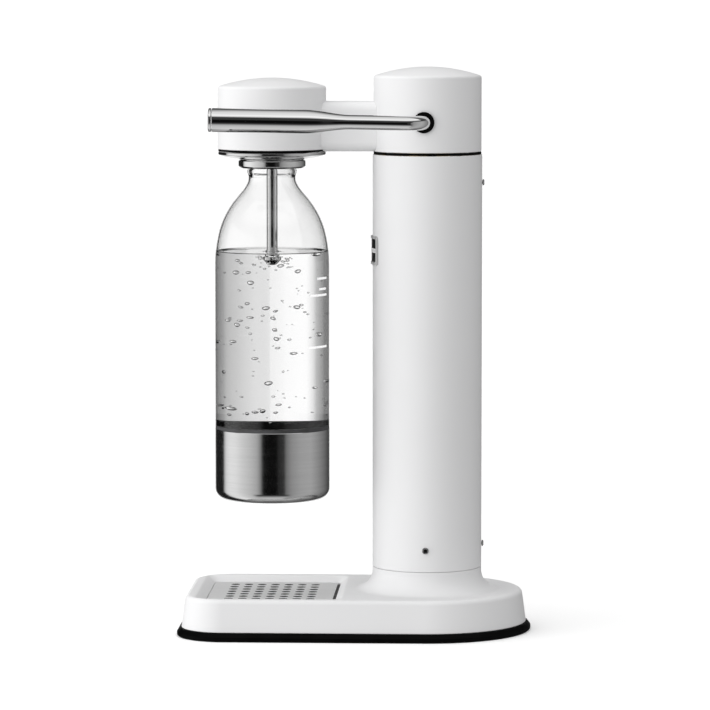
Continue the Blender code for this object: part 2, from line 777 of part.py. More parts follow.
def build_valve(rubber, brass, steel, metal):
    at = (0, COLUMN_Y, 0)
    block = [
        (0.0108, BLOCK_BOTTOM),
        (0.0340, BLOCK_BOTTOM),
        (0.0340, 0.3363),
        (0.0180, 0.3363),
        (0.0180, BLOCK_TOP),
        (0.0023, BLOCK_TOP),
        (0.0023, 0.3502),
        (0.0108, 0.3502),
    ]
    turned("valve_block", block, brass, at)
    seal = [
        (0.0035, VALVE_TOP + GAP),
        (0.0100, VALVE_TOP + GAP),
        (0.0100, 0.3499),
        (0.0035, 0.3499),
    ]
    turned("cylinder_seal", seal, rubber, at, steps=SMALL_STEPS)
    plunger_top = PIVOT_Z - CAM_BASE - 0.0005
    plunger = [
        (0, 0.3510),
        (0.0020, 0.3510),
        (0.0020, 0.3622),
        (0.0045, 0.3622),
        (0.0045, 0.3637),
        (0.0018, 0.3637),
        (0.0018, plunger_top - 0.0011),
        (0.0013, plunger_top - 0.0003),
        (0, plunger_top),
    ]
    plunger = turned("valve_plunger", plunger, steel, at, steps=SMALL_STEPS)
    move_with(joint_empty("plunger_slide", (0, COLUMN_Y, 0.3510)), plunger)
    coil("plunger_spring", 0.0033, 0.0004, 0.3588, 0.3615, 2.4, steel, at)

    block_side = 0.0183
    nut = [(0.0021, 0), (0.0052, 0), (0.0052, 0.007), (0.0021, 0.007)]
    turned("tube_nut_block", nut, brass, (0, COLUMN_Y - block_side, GAS_Z), "-Y", 6)
    turned("tube_nut_head", nut, brass, (0, HEAD_Y, 0.3663), "+Z", 6)
    plug = [(0, 0), (0.0045, 0), (0.0045, 0.005), (0.003, 0.0055), (0.003, 0.008), (0, 0.008)]
    turned("burst_plug", plug, brass, (0, COLUMN_Y + block_side, GAS_Z), "+Y", 6)

    corners = [
        (COLUMN_Y - block_side - 0.0008, GAS_Z),
        (COLUMN_Y - TUBE_DROP_Y, GAS_Z),
        (COLUMN_Y - TUBE_DROP_Y, TUBE_RUN_Z),
        (HEAD_Y, TUBE_RUN_Z),
        (HEAD_Y, 0.3675),
    ]
    path = [corners[0]]
    path += arc((corners[1][0] + TUBE_BEND, GAS_Z + TUBE_BEND), TUBE_BEND, 270, 180, 4)
    path += arc((corners[2][0] - TUBE_BEND, TUBE_RUN_Z - TUBE_BEND), TUBE_BEND, 0, 90, 4)
    path += arc((HEAD_Y + TUBE_BEND, TUBE_RUN_Z - TUBE_BEND), TUBE_BEND, 90, 180, 4)
    path.append(corners[4])
    points = [(0, y, z) for y, z in path]
    rod_curve("gas_tube", points, [TUBE_RADIUS] * len(points), brass, (0, 0, 0), sides=1)


def build_cylinder(metal, brass, steel):
    at = (0, COLUMN_Y, 0)
    wall = 0.003
    low = CYLINDER_BOTTOM
    body = [(0, low + 0.003), (0.022, low)]
    body += arc((CYLINDER_RADIUS - 0.005, low + 0.005), 0.005, 300, 360, 2)
    body += arc((CYLINDER_RADIUS - 0.017, 0.284), 0.017, 0, 75, 4)
    body += [(0.013, NECK_TOP - 0.004), (0.013, NECK_TOP), (0.0096, NECK_TOP), (0.0096, 0.297)]
    body += arc((0.012, 0.283), 0.014, 75, 0, 3)
    body += [(CYLINDER_RADIUS - wall - 0.001, low + 0.010), (0.022, low + wall), (0, low + 0.006)]
    cylinder = turned("gas_cylinder", body, metal, at)
    foot = NECK_TOP + GAP
    valve = [
        (0, 0.2985),
        (0.0092, 0.2985),
        (0.0092, foot),
        (0.0130, foot),
        (0.0130, 0.3180),
        (0.0103, 0.3190),
        (0.0103, VALVE_TOP),
        (0.0015, VALVE_TOP),
        (0.0015, 0.3300),
        (0, 0.3300),
    ]
    valve = turned("cylinder_valve", valve, brass, at, steps=PART_STEPS)
    pin = [(0, 0.3340), (0.0012, 0.3340), (0.0012, 0.3506), (0, 0.3506)]
    pin = turned("cylinder_pin", pin, steel, at, steps=8)
    move_with(joint_empty("cylinder_withdraw", (0, COLUMN_Y, VALVE_TOP)), cylinder, valve)
    move_with(joint_empty("pin_slide", (0, COLUMN_Y, 0.3506)), pin)


def build_bottle(clear, dark, brushed):
    at = (0, HEAD_Y, 0)
    step = (BOTTLE_RADIUS, LINER_TOP + 0.0006)
    shoulder = [
        (BOTTLE_RADIUS, 0.2680),
        (0.0400, 0.2890),
        (0.0333, 0.3075),
        (0.0238, 0.3207),
        (0.0178, 0.3295),
        (0.0171, 0.3347),
    ]
    foot_radius = 0.0392
    outside = [
        (0, 0.1024),
        (0.030, 0.0992),
        (0.0375, 0.1020),
        (foot_radius, 0.1080),
        (foot_radius, LINER_TOP),
    ]
    outside += [step] + shoulder
    outside += [(0.0185, 0.3358), (0.0185, 0.3389), (0.0166, 0.3391), (0.0166, MOUTH_TOP)]
    inside = [(0.0150, MOUTH_TOP)]
    inside += [(r - BOTTLE_WALL, z) for r, z in shoulder[-2::-1]]
    inside += [(step[0] - BOTTLE_WALL, step[1])]
    inside += [
        (foot_radius - BOTTLE_WALL, LINER_TOP - 0.0010),
        (foot_radius - BOTTLE_WALL, 0.1086),
        (0.0366, 0.1031),
        (0.030, 0.1004),
        (0, 0.1036),
    ]
    bottle = turned("bottle_body", outside + inside, clear, at, steps=BOTTLE_STEPS)

    edge = 0.008
    skin = 0.001
    centre = (CUP_RADIUS - edge, CUP_BOTTOM + edge)
    cup = [(0, CUP_BOTTOM)] + arc(centre, edge, 270, 360, 4)
    cup += [(CUP_RADIUS, CUP_TOP), (CUP_RADIUS - skin, CUP_TOP)]
    cup += arc(centre, edge - skin, 360, 270, 3) + [(0, CUP_BOTTOM + skin)]
    cup = turned("bottle_cup", cup, brushed, at, steps=CUP_STEPS)

    outer = edge - skin - GAP
    inner = outer - 0.0009
    liner = [(0, centre[1] - outer)] + arc(centre, outer, 270, 360, 3)
    liner += [(centre[0] + outer, LINER_TOP), (centre[0] + inner, LINER_TOP)]
    liner += arc(centre, inner, 360, 270, 3) + [(0, centre[1] - inner)]
    liner = turned("bottle_liner", liner, dark, at, steps=CUP_STEPS)
    move_with(joint_empty("bottle_drop", (0, HEAD_Y, MOUTH_TOP)), bottle, cup, liner)


def main():
    for old in list(bpy.data.objects):
        bpy.data.objects.remove(old, do_unlink=True)
    white = finish("white_enamel", (0.85, 0.85, 0.86), 0.32)
    rubber = finish("black_rubber", (0.02, 0.02, 0.02), 0.6)
    dark = finish("black_plastic", (0.03, 0.03, 0.03), 0.45)
    chrome = finish("polished_steel", (0.78, 0.78, 0.78), 0.12, 1.0)
    brushed = finish("brushed_steel", (0.62, 0.62, 0.62), 0.28, 1.0)
    metal = finish("satin_aluminium", (0.60, 0.61, 0.62), 0.4, 1.0)
    brass = finish("brass", (0.75, 0.58, 0.32), 0.35, 1.0)
    clear = finish("clear_plastic", (0.95, 0.97, 0.98), 0.03, 0.0, 1.0)

    spigot = build_base(white, rubber, metal, chrome)
    build_tray(brushed, dark)
    build_column(white, rubber, metal, chrome, spigot, dark)
    build_top(white, rubber, chrome, brushed)
    build_nozzle(rubber, metal, brass, brushed)
    build_lever(chrome, rubber, metal, brushed, dark)
    build_valve(rubber, brass, brushed, metal)
    build_cylinder(metal, brass, brushed)
    build_bottle(clear, dark, brushed)


main()
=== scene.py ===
"""Looks of a hand-operated soda carbonator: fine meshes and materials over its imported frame.

Sizes are in metres, +Z up. The lever is on the +X side, the bottle towards -Y and the
column towards +Y. Sizes that the pieces share are read from the frame's solids.
"""

import json
from math import atan, atan2, cos, degrees, exp, pi, radians, sin, sqrt, tan, tau
import random

import bmesh
import bpy
from mathutils import Matrix, Vector


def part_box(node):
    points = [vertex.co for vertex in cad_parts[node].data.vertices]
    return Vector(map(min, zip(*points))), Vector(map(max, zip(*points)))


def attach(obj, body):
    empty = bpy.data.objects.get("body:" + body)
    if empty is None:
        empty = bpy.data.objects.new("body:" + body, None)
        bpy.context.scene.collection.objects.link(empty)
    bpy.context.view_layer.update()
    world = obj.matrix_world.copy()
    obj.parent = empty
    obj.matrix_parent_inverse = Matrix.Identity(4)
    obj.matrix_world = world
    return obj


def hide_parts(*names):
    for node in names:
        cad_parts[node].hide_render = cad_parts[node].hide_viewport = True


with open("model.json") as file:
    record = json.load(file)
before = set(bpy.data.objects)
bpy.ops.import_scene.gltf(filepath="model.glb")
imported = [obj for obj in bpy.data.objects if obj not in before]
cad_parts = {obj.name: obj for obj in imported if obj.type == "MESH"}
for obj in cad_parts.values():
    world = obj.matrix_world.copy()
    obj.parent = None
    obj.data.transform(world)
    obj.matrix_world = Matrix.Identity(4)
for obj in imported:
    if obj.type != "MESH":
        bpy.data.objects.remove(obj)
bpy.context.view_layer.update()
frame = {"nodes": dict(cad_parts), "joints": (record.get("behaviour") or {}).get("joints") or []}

ROUND = 144  # facets round the column, cap, head and bottle
MIDDLE = 64  # facets round pieces of a few centimetres
SMALL = 32
MERGE = 0.0000005  # vertices nearer than this are one
GAP = 0.0003  # kept between neighbouring pieces
SHARP = radians(32)  # edges that turn more than this stay crisp
ALONG = {
    "+X": Matrix.Rotation(pi / 2, 4, "Y"),
    "-X": Matrix.Rotation(-pi / 2, 4, "Y"),
    "+Y": Matrix.Rotation(-pi / 2, 4, "X"),
    "-Y": Matrix.Rotation(pi / 2, 4, "X"),
    "+Z": Matrix.Identity(4),
    "-Z": Matrix.Rotation(pi, 4, "X"),
}


# ---- sizes read from the frame


def middle(node):
    low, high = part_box(node)
    return (low + high) / 2


def heights(node):
    """A node's lowest and highest z."""
    return [corner.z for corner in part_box(node)]


def radius_of(node):
    """Half of a round piece's width across X."""
    low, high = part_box(node)
    return (high.x - low.x) / 2


COLUMN_Y = middle("column_tube").y
HEAD_Y = middle("nozzle_flange").y
COLUMN_RADIUS = radius_of("column_tube")
CAP_RADIUS = radius_of("column_cap")
HEAD_RADIUS = radius_of("head_shell")
FOOT_LOW, FOOT_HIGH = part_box("foot_ring")
BASE_RADIUS = FOOT_HIGH.x
BASE_FRONT = FOOT_LOW.y
PAN_LOW, PAN_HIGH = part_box("drip_tray_pan")
LEVER_X = middle("lever_end_cap").x
GRIP_RADIUS = radius_of("lever_end_cap")
PIVOT = Vector(frame["joints"][0]["pos_m"])
BASE_TOP = 0.03
FRONT_CORNER = 0.0355
SEAL_RADIUS = 0.0394  # both black seals, a little inside the covers
SHAFT_HOLE = 0.0054
TUBE_RADIUS = 0.004
SCREW_HOLE = 0.0018
WALL_CUT = (0.03, 0.05)  # reach of a cutter through the column's or the cap's wall
COLUMN_SCREWS = {
    "column_screw_right": "+X",
    "column_screw_left": "-X",
    "column_screw_rear_low": "+Y",
    "column_screw_rear_high": "+Y",
}
BASE_CORNERS = ("front_right", "front_left", "rear_right", "rear_left")
BASE_SCREWS = {"base_screw_" + corner: "-Z" for corner in BASE_CORNERS}


# ---- outline helpers


def arc(centre, radius, start, end, steps):
    """Points along an arc, in degrees."""
    turn = [radians(start + (end - start) * i / steps) for i in range(steps + 1)]
    return [(centre[0] + radius * cos(a), centre[1] + radius * sin(a)) for a in turn]


def smooth_path(points, closed=False, steps=6):
    """Turn corners given as (a, b, radius) into fillets, with a support point each side."""
    straight = radians(177)
    made = []
    count = len(points)
    for i, (a, b, radius) in enumerate(points):
        here = Vector((a, b))
        before = Vector(points[i - 1][:2]) - here
        after = Vector(points[(i + 1) % count][:2]) - here
        at_end = not closed and i in (0, count - 1)
        if at_end or radius <= 0 or before.angle(after, straight) >= straight:
            made.append(here)
            continue
        half_angle = before.angle(after) / 2
        limit = 0.48 * min(before.length, after.length)
        reach = min(radius / tan(half_angle), limit)
        before_way = before.normalized()
        after_way = after.normalized()
        bisector = (before_way + after_way).normalized()
        centre = here + bisector * (reach / cos(half_angle))
        spoke = here + before_way * reach - centre
        sweep = spoke.angle_signed(here + after_way * reach - centre)
        if before.length > 3 * reach:
            made.append(here + before_way * reach * 1.25)
        for step in range(steps + 1):
            made.append(centre + Matrix.Rotation(-sweep * step / steps, 2) @ spoke)
        if after.length > 3 * reach:
            made.append(here + after_way * reach * 1.25)
    return [(point.x, point.y) for point in made]


def rounded_rectangle(half_width, low, high, radius, steps=10):
    """Outline of a rectangle with round corners, centred across and from low to high."""
    points = []
    x = half_width - radius
    for cx, cy, start in (
        (x, high - radius, 0), (-x, high - radius, 90), (-x, low + radius, 180),
        (x, low + radius, 270),
    ):
        points += arc((cx, cy), radius, start, start + 90, steps)
    return points


def base_outline(inset):
    """Outline of the base from above: round at the back, rounded corners in front."""
    radius = BASE_RADIUS - inset
    corner = FRONT_CORNER - inset
    front = BASE_FRONT + inset + corner
    points = arc((0, COLUMN_Y), radius, 0, 180, 96)
    points += arc((corner - radius, front), corner, 180, 270, 24)
    points += arc((radius - corner, front), corner, 270, 360, 24)
    return points


def level(outline, z):
    return [(x, y, z) for x, y in outline]


def sleeve(inner, outer, low, high, inner_edge, outer_edge):
    """Corners of a plain sleeve, with the fillets of its inner and outer edges."""
    return [
        (inner, low, inner_edge), (outer, low, outer_edge), (outer, high, outer_edge),
        (inner, high, inner_edge),
    ]


# ---- mesh helpers


def added(name, data):
    """New object in the scene."""
    piece = bpy.data.objects.new(name, data)
    bpy.context.scene.collection.objects.link(piece)
    return piece


def finished(name, mesh, look, at=(0, 0, 0), facing="+Z"):
    """Object from a bmesh, closed, facing outwards, smooth between its sharp edges."""
    bmesh.ops.remove_doubles(mesh, verts=mesh.verts, dist=MERGE)
    bmesh.ops.recalc_face_normals(mesh, faces=mesh.faces)
    mesh.transform(Matrix.Translation(at) @ ALONG[facing])
    data = bpy.data.meshes.new(name)
    mesh.to_mesh(data)
    mesh.free()
    data.shade_smooth()
    data.set_sharp_from_angle(angle=SHARP)
    if look:
        data.materials.append(look)
    return added(name, data)


def revolve(profile, steps):
    """bmesh of a solid of revolution about Z from (radius, height) points."""
    mesh = bmesh.new()
    rings = []
    for radius, height in profile:
        if radius < MERGE:
            rings.append([mesh.verts.new((0, 0, height))])
            continue
        ring = []
        for i in range(steps):
            turn = tau * i / steps
            ring.append(mesh.verts.new((radius * cos(turn), radius * sin(turn), height)))
        rings.append(ring)
    pairs = list(zip(rings, rings[1:]))
    if len(rings[0]) > 1:
        pairs.append((rings[-1], rings[0]))
    for lower, upper in pairs:
        if len(lower) == 1 and len(upper) == 1:
            continue
        for i in range(steps):
            j = (i + 1) % steps
            if len(lower) == 1:
                mesh.faces.new((lower[0], upper[i], upper[j]))
            elif len(upper) == 1:
                mesh.faces.new((lower[i], upper[0], lower[j]))
            else:
                mesh.faces.new((lower[i], upper[i], upper[j], lower[j]))
    return mesh


def turned(name, corners, look, at=(0, 0, 0), facing="+Z", steps=MIDDLE, fillet=5):
    """Turned piece. Corners are (radius, height) or (radius, height, fillet radius)."""
    points = [(*corner, 0)[:3] for corner in corners]
    closed = points[0][0] > MERGE
    profile = smooth_path(points, closed, fillet)
    return finished(name, revolve(profile, steps), look, at, facing)


def skin(rings, loop=False):
    """bmesh over rings of points. It is capped at both ends, or joined into a loop."""
    mesh = bmesh.new()
    rows = [[mesh.verts.new(point) for point in ring] for ring in rings]
    pairs = list(zip(rows, rows[1:]))
    if loop:
        pairs.append((rows[-1], rows[0]))
    else:
        mesh.faces.new(rows[0])
        mesh.faces.new(rows[-1])
    count = len(rows[0])
    for lower, upper in pairs:
        for i in range(count):
            j = (i + 1) % count
            mesh.faces.new((lower[i], lower[j], upper[j], upper[i]))
    return mesh


def loft(name, rings, look, loop=False):
    return finished(name, skin(rings, loop), look)


def tube(name, points, radii, look, sides):
    """Round bar along points in space, with its own radius at each, closed by flat ends."""
    points = [Vector(point) for point in points]
    side = None
    rings = []
    for i, point in enumerate(points):
        ahead = points[min(i + 1, len(points) - 1)] - points[max(i - 1, 0)]
        ahead.normalize()
        if side is None:
            side = ahead.orthogonal().normalized()
        side = (side - ahead * side.dot(ahead)).normalized()
        up = ahead.cross(side)
        ring = []
        for k in range(sides):
            turn = tau * k / sides
            ring.append(point + (side * cos(turn) + up * sin(turn)) * radii[i])
        rings.append(ring)
    return loft(name, rings, look)


def carve(target, *cutters, operation="DIFFERENCE"):
    """Boolean with each cutter in turn, applied to the target, and remove the cutters."""
    for cutter in cutters:
        change = target.modifiers.new("carve", "BOOLEAN")
        change.operation = operation
        change.solver = "EXACT"
        change.material_mode = "TRANSFER"
        change.object = cutter
        graph = bpy.context.evaluated_depsgraph_get()
        data = bpy.data.meshes.new_from_object(target.evaluated_get(graph))
        target.modifiers.clear()
        old = target.data
        target.data = data
        bpy.data.meshes.remove(old)
        bpy.data.objects.remove(cutter, do_unlink=True)
    target.data.shade_smooth()
    target.data.set_sharp_from_angle(angle=SHARP)
    return target


def rod(radius, start, end, at=(0, 0, 0), facing="+Z", steps=SMALL):
    """Plain round cutter."""
    profile = [(0, start), (radius, start), (radius, end), (0, end)]
    return finished("cutter", revolve(profile, steps), None, at, facing)


def merged(name, meshes, look):
    """One object from several bmeshes that stay separate bodies."""
    whole = bmesh.new()
    for mesh in meshes:
        part = bpy.data.meshes.new("part")
        mesh.to_mesh(part)
        mesh.free()
        whole.from_mesh(part)
        bpy.data.meshes.remove(part)
    return finished(name, whole, look)


def place(piece, body, slot, *nodes):
    """The piece rides on a body and stands for CAD nodes. The slot is not used."""
    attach(piece, body)
    if nodes:
        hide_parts(*nodes)


def turned_node(node, name, corners, look, slot, at, **shape):
    """Turned piece of the machine that stands for one CAD node."""
    place(turned(name, corners, look, at, **shape), "machine", slot, node)


# ---- materials


class Shader:
    """Node graph of one material, with short calls for the nodes used here."""

    def __init__(self, name):
        self.look = bpy.data.materials.new(name)
        self.look.use_nodes = True
        self.tree = self.look.node_tree
        self.surface = self.tree.nodes["Principled BSDF"]
        self.coordinates = self.add("TexCoord")["Object"]

    def feed(self, node, inputs):
        """Give each named input its value, or a link from a socket."""
        for name, value in inputs.items():
            socket = node.inputs[name.replace("_", " ")]
            if isinstance(value, bpy.types.NodeSocket):
                self.tree.links.new(value, socket)
            else:
                socket.default_value = value

    def add(self, kind, **inputs):
        node = self.tree.nodes.new("ShaderNode" + kind)
        self.feed(node, inputs)
        return node.outputs

    def set(self, **inputs):
        self.feed(self.surface, inputs)
        return self

    def noise(self, scale, detail, rough=0.55, vector=None):
        at = vector or self.coordinates
        return self.add("TexNoise", Vector=at, Scale=scale, Detail=detail, Roughness=rough)["Fac"]

    def colours(self, source, dark, light):
        ramp = self.tree.nodes.new("ShaderNodeValToRGB")
        for element, stop, colour in zip(ramp.color_ramp.elements, (0.3, 0.7), (dark, light)):
            element.position = stop
            element.color = (*colour, 1)
        self.feed(ramp, {"Fac": source})
        self.set(Base_Color=ramp.outputs["Color"])

    def rough(self, source, low, high):
        limits = {"From_Min": 0.3, "From_Max": 0.7, "To_Min": low, "To_Max": high}
        self.set(Roughness=self.add("MapRange", Value=source, **limits)["Result"])

    def bump(self, source, depth, strength):
        node = self.add("Bump", Strength=strength, Distance=depth, Height=source)
        self.set(Normal=node["Normal"])


def enamel(name):
    """Satin white powder coat: fine orange peel and slightly uneven gloss."""
    shader = Shader(name).set(Specular_IOR_Level=0.1)
    broad = shader.noise(9, 3)
    peel = shader.noise(1400, 2, 0.4)
    shader.colours(broad, (0.785, 0.785, 0.79), (0.81, 0.81, 0.815))
    shader.rough(shader.noise(160, 5), 0.36, 0.46)
    shader.bump(peel, 0.00002, 0.35)
    return shader.look


def rubber(name):
    """Black rubber: mould grain, dusty variation and a dull sheen."""
    shader = Shader(name).set(Specular_IOR_Level=0.04)
    grain = shader.noise(2600, 6, 0.7)
    shader.colours(shader.noise(60, 6), (0.0016,) * 3, (0.0032,) * 3)
    shader.rough(shader.noise(240, 6), 0.42, 0.62)
    shader.bump(grain, 0.00004, 0.5)
    return shader.look


def moulding(name, tone):
    """Black moulded plastic with a fine spark texture."""
    shader = Shader(name).set(Specular_IOR_Level=0.25)
    shader.colours(shader.noise(80, 4), (tone, tone, tone), (tone * 1.6, tone * 1.6, tone * 1.7))
    shader.rough(shader.noise(300, 5), 0.3, 0.45)
    shader.bump(shader.noise(1800, 5, 0.6), 0.00003, 0.5)
    return shader.look


def steel(name, tone, rough_low, rough_high, grain, depth, axis="XY", metal=1.0, tint=(1, 1, 1)):
    """Metal with drawn grain: fine streaks that run round or along the piece."""
    shader = Shader(name).set(Metallic=metal)
    scale = {"Y": (60, 1, 60), "Z": (60, 60, 1), "XY": (1, 1, 40)}[axis]
    drawn = shader.add("Mapping", Vector=shader.coordinates, Scale=scale)["Vector"]
    streaks = shader.noise(grain, 5, 0.65, drawn)
    dark = tuple(tone * 0.94 * part for part in tint)
    light = tuple(tone * 1.03 * part for part in tint)
    shader.colours(streaks, dark, light)
    shader.rough(streaks, rough_low, rough_high)
    shader.bump(streaks, depth, 0.3)
    return shader.look


def clear(name, ior):
    """Clear plastic, water or the gas in it."""
    shader = Shader(name).set(IOR=ior, Transmission_Weight=1.0, Roughness=0.0)
    shader.colours(shader.noise(12, 2), (0.985, 0.985, 0.985), (1, 1, 1))
    shader.bump(shader.noise(28, 2), 0.00008, 0.12)
    return shader.look


def printed(name):
    """White screen-printed ink, with a painted glow: its emission keeps it bright under any light.
    """
    shader = Shader(name).set(Specular_IOR_Level=0.4)
    # painted glow: the ink gives off light of its own
    shader.set(Emission_Color=(1, 1, 1, 1), Emission_Strength=0.45)
    shader.colours(shader.noise(900, 3), (0.84, 0.84, 0.84), (0.92, 0.92, 0.92))
    shader.rough(shader.noise(500, 3), 0.4, 0.55)
    return shader.look


WHITE = enamel("white_enamel")
RUBBER = rubber("black_rubber")
BLACK = moulding("black_plastic", 0.006)
LINER = moulding("dark_liner", 0.05)
CHROME = steel("polished_steel", 0.8, 0.035, 0.07, 3, 0.000002, axis="Y")
CHROME_RING = steel("polished_ring_steel", 0.8, 0.07, 0.13, 6, 0.000002)
BRUSHED = steel("brushed_steel", 0.72, 0.11, 0.18, 12, 0.000004)
GRID_STEEL = steel("grid_steel", 0.88, 0.46, 0.56, 10, 0.00001, axis="Y", metal=0.35)
# Dark steel for the walls and chamfers of the grid's holes: painted shade inside the holes
HOLE_SHADE_STEEL = steel("hole_painted_shade_steel", 0.2, 0.45, 0.55, 60, 0.000004)
TUBE_STEEL = steel("tube_steel", 0.7, 0.06, 0.11, 20, 0.000003, axis="Z")
SCREW_STEEL = steel("screw_steel", 0.42, 0.16, 0.26, 60, 0.000003)
SPRING_STEEL = steel("spring_steel", 0.48, 0.22, 0.34, 60, 0.000004)
SATIN = steel("satin_aluminium", 0.66, 0.28, 0.4, 20, 0.00001)
TRIM = steel("silver_trim", 0.62, 0.3, 0.42, 40, 0.000004, metal=0.35)
BAR = steel("bright_trim", 0.95, 0.3, 0.42, 40, 0.000004, metal=0.2)
BRASS = steel("brass", 0.95, 0.2, 0.32, 30, 0.000006, tint=(0.8, 0.62, 0.34))
PLASTIC = clear("clear_plastic", 1.34)
WATER_IOR = 1.333
WATER = clear("clear_water", WATER_IOR)
AIR = clear("bubble_air", 1 / WATER_IOR)
GLOWING_INK = printed("white_ink_painted_glow")


# ---- base


def tray_outline(grow, radius):
    """Outline of the tray's recess, made larger all round."""
    edge = 0.0004 + grow
    return rounded_rectangle(PAN_HIGH.x + edge, PAN_LOW.y - edge, PAN_HIGH.y + edge, radius)


def build_foot():
    height = FOOT_HIGH.z
    corners = [
        (0.001, 0, 0.0005), (0, 0.0012, 0.0008), (0, 0.0032, 0.001), (0.0022, height, 0.0012),
        (0.011, height, 0.0006), (0.011, 0, 0.0006),
    ]
    profile = smooth_path(corners, True, 5)
    foot = loft("foot_rubber", [level(base_outline(i), z) for i, z in profile], RUBBER, loop=True)
    place(foot, "machine", "black_rubber", "foot_ring")


def build_base_shell():
    bottom, collar_top = heights("base_shell")
    thick = 0.0026
    foot_inset = 0.0034
    top_inset = 0.0066
    ceiling = BASE_TOP - thick
    corners = [
        (foot_inset + 0.001, bottom, 0), (foot_inset, bottom + 0.0002, 0.0006),
        (top_inset, BASE_TOP, 0.0036), (0.025, BASE_TOP, 0),
    ]
    wall = smooth_path(corners, False, 8)
    shell = loft("base_cover", [level(base_outline(i), z) for i, z in wall], WHITE)

    flare = 0.014
    flare_centre = (COLUMN_RADIUS + flare, BASE_TOP + flare)
    sunk = ceiling + 0.0006
    profile = [(0, sunk), (COLUMN_RADIUS + flare + 0.0006, sunk)]
    profile += arc(flare_centre, flare, 268, 180, 24)
    profile += [(COLUMN_RADIUS, collar_top - 0.0005), (COLUMN_RADIUS - 0.0004, collar_top)]
    profile += [(0, collar_top)]
    at = (0, COLUMN_Y, 0)
    flare_body = finished("flare", revolve(profile, ROUND), None, at)
    carve(shell, flare_body, operation="UNION")

    cavity_rings = [
        level(base_outline(foot_inset + thick), 0.006),
        level(base_outline(top_inset + thick), ceiling),
    ]
    bore = COLUMN_RADIUS - 0.0025
    carve(shell, loft("cavity", cavity_rings, None), rod(bore, 0.015, 0.06, at, steps=ROUND))

    seat = 0.023
    frame_rings = [level(tray_outline(0.007, 0.01), z) for z in (0.0205, 0.0284)]
    carve(shell, loft("frame", frame_rings, None), operation="UNION")
    lip = heights("drip_grid")[1] - 0.0004
    slope = 0.0048
    corner = 0.004
    edge = 0.0004
    recess = [(0, seat, corner), (0, lip, corner), (edge, lip + 0.0005, corner + edge)]
    crest = slope + 0.0008
    steps = 6
    turn_start = edge + (crest - edge) * 0.78
    for i in range(steps + 1):
        share = i / steps
        grow = turn_start + (crest + 0.0012 - turn_start) * share
        rise = BASE_TOP - (BASE_TOP - lip) * 0.2 * (1 - share) ** 2
        recess.append((grow, rise, corner + grow * 0.8))
    recess.append((crest + 0.0014, BASE_TOP + edge, corner + crest * 0.8))
    rings = [level(tray_outline(grow, radius), z) for grow, z, radius in recess]
    opening = [level(tray_outline(-0.0038, 0.003), z) for z in (0.018, 0.0236)]
    carve(shell, loft("recess", rings, None), loft("opening", opening, None))

    boss_bottom = heights("base_plate")[1] + GAP
    for name in BASE_SCREWS:
        spot = middle(name)
        boss_top = seat - 0.001 if "front" in name else ceiling + 0.001
        boss = rod(0.0042, boss_bottom, boss_top, (spot.x, spot.y, 0))
        carve(shell, boss, operation="UNION")
        carve(shell, rod(SCREW_HOLE, 0.006, 0.018, (spot.x, spot.y, 0)))
    shell.visible_glossy = False  # keeps the cup's lower edge plain
    place(shell, "machine", "white_enamel", "base_shell")


def build_base_plate():
    low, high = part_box("base_plate")
    inset = BASE_RADIUS - high.x
    profile = [(inset + 0.0004, low.z), (inset, low.z + 0.0004), (inset, high.z)]
    plate = loft("base_floor", [level(base_outline(i), z) for i, z in profile], SATIN)
    cylinder_opening = 0.0325
    carve(plate, rod(cylinder_opening, 0, 0.02, (0, COLUMN_Y, 0), steps=ROUND))
    for name in BASE_SCREWS:
        spot = middle(name)
        carve(plate, rod(SCREW_HOLE, 0, 0.02, (spot.x, spot.y, 0)))
    place(plate, "machine", "satin_aluminium", "base_plate")


def build_tray():
    low, high = heights("drip_tray_pan")
    seat = high - 0.0008
    rings = [
        (-0.0072, low + 0.0012, 0.0022), (-0.0062, low + 0.0016, 0.003),
        (-0.0054, high - 0.0006, 0.003), (-0.0048, high, 0.003), (-0.0008, high, 0.0036),
        (-0.0004, high - 0.0003, 0.0036), (-0.0004, seat + 0.0002, 0.0036),
        (-0.0006, seat, 0.0036), (-0.0036, seat, 0.003), (-0.0042, seat - 0.0006, 0.003),
        (-0.0052, low + 0.001, 0.003), (-0.0064, low, 0.0026),
    ]
    pan = loft("drip_pan", [level(tray_outline(g, r), z) for g, z, r in rings], BLACK)
    pan.visible_glossy = False
    place(pan, "tray", "black_plastic", "drip_tray_pan")


def build_grid():
    """Perforated plate with a soft pressed edge and a chamfer at every hole."""
    low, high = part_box("drip_grid")
    side = [
        (0.0004, low.z), (0, low.z + 0.0003), (0, high.z - 0.0004), (0.0002, high.z - 0.0001),
        (0.0006, high.z),
    ]
    rings = []
    for inset, z in side:
        size = (high.x - inset, low.y + inset, high.y - inset, 0.0034 - inset)
        rings.append(level(rounded_rectangle(*size), z))
    grid = loft("drip_grille", rings, GRID_STEEL)
    columns = 8
    rows = 7
    pitch = (0.0121, 0.01)
    field_y = -0.062
    hole = 0.003
    chamfer = 0.00025
    profile = [
        (0, low.z - 0.001), (hole, low.z - 0.001), (hole, high.z - chamfer),
        (hole + 2 * chamfer, high.z + chamfer), (0, high.z + chamfer),
    ]
    holes = []
    for column in range(columns):
        for row in range(rows):
            x = (column - (columns - 1) / 2) * pitch[0]
            y = field_y + (row - (rows - 1) / 2) * pitch[1]
            mesh = revolve(profile, 28)
            mesh.transform(Matrix.Translation((x, y, 0)))
            holes.append(mesh)
    # the holes' walls and chamfers take the dark steel: painted shade inside each hole
    carve(grid, merged("holes", holes, HOLE_SHADE_STEEL))
    grid.visible_glossy = False
    place(grid, "grid", "brushed_steel", "drip_grid")


# ---- column, cap and head


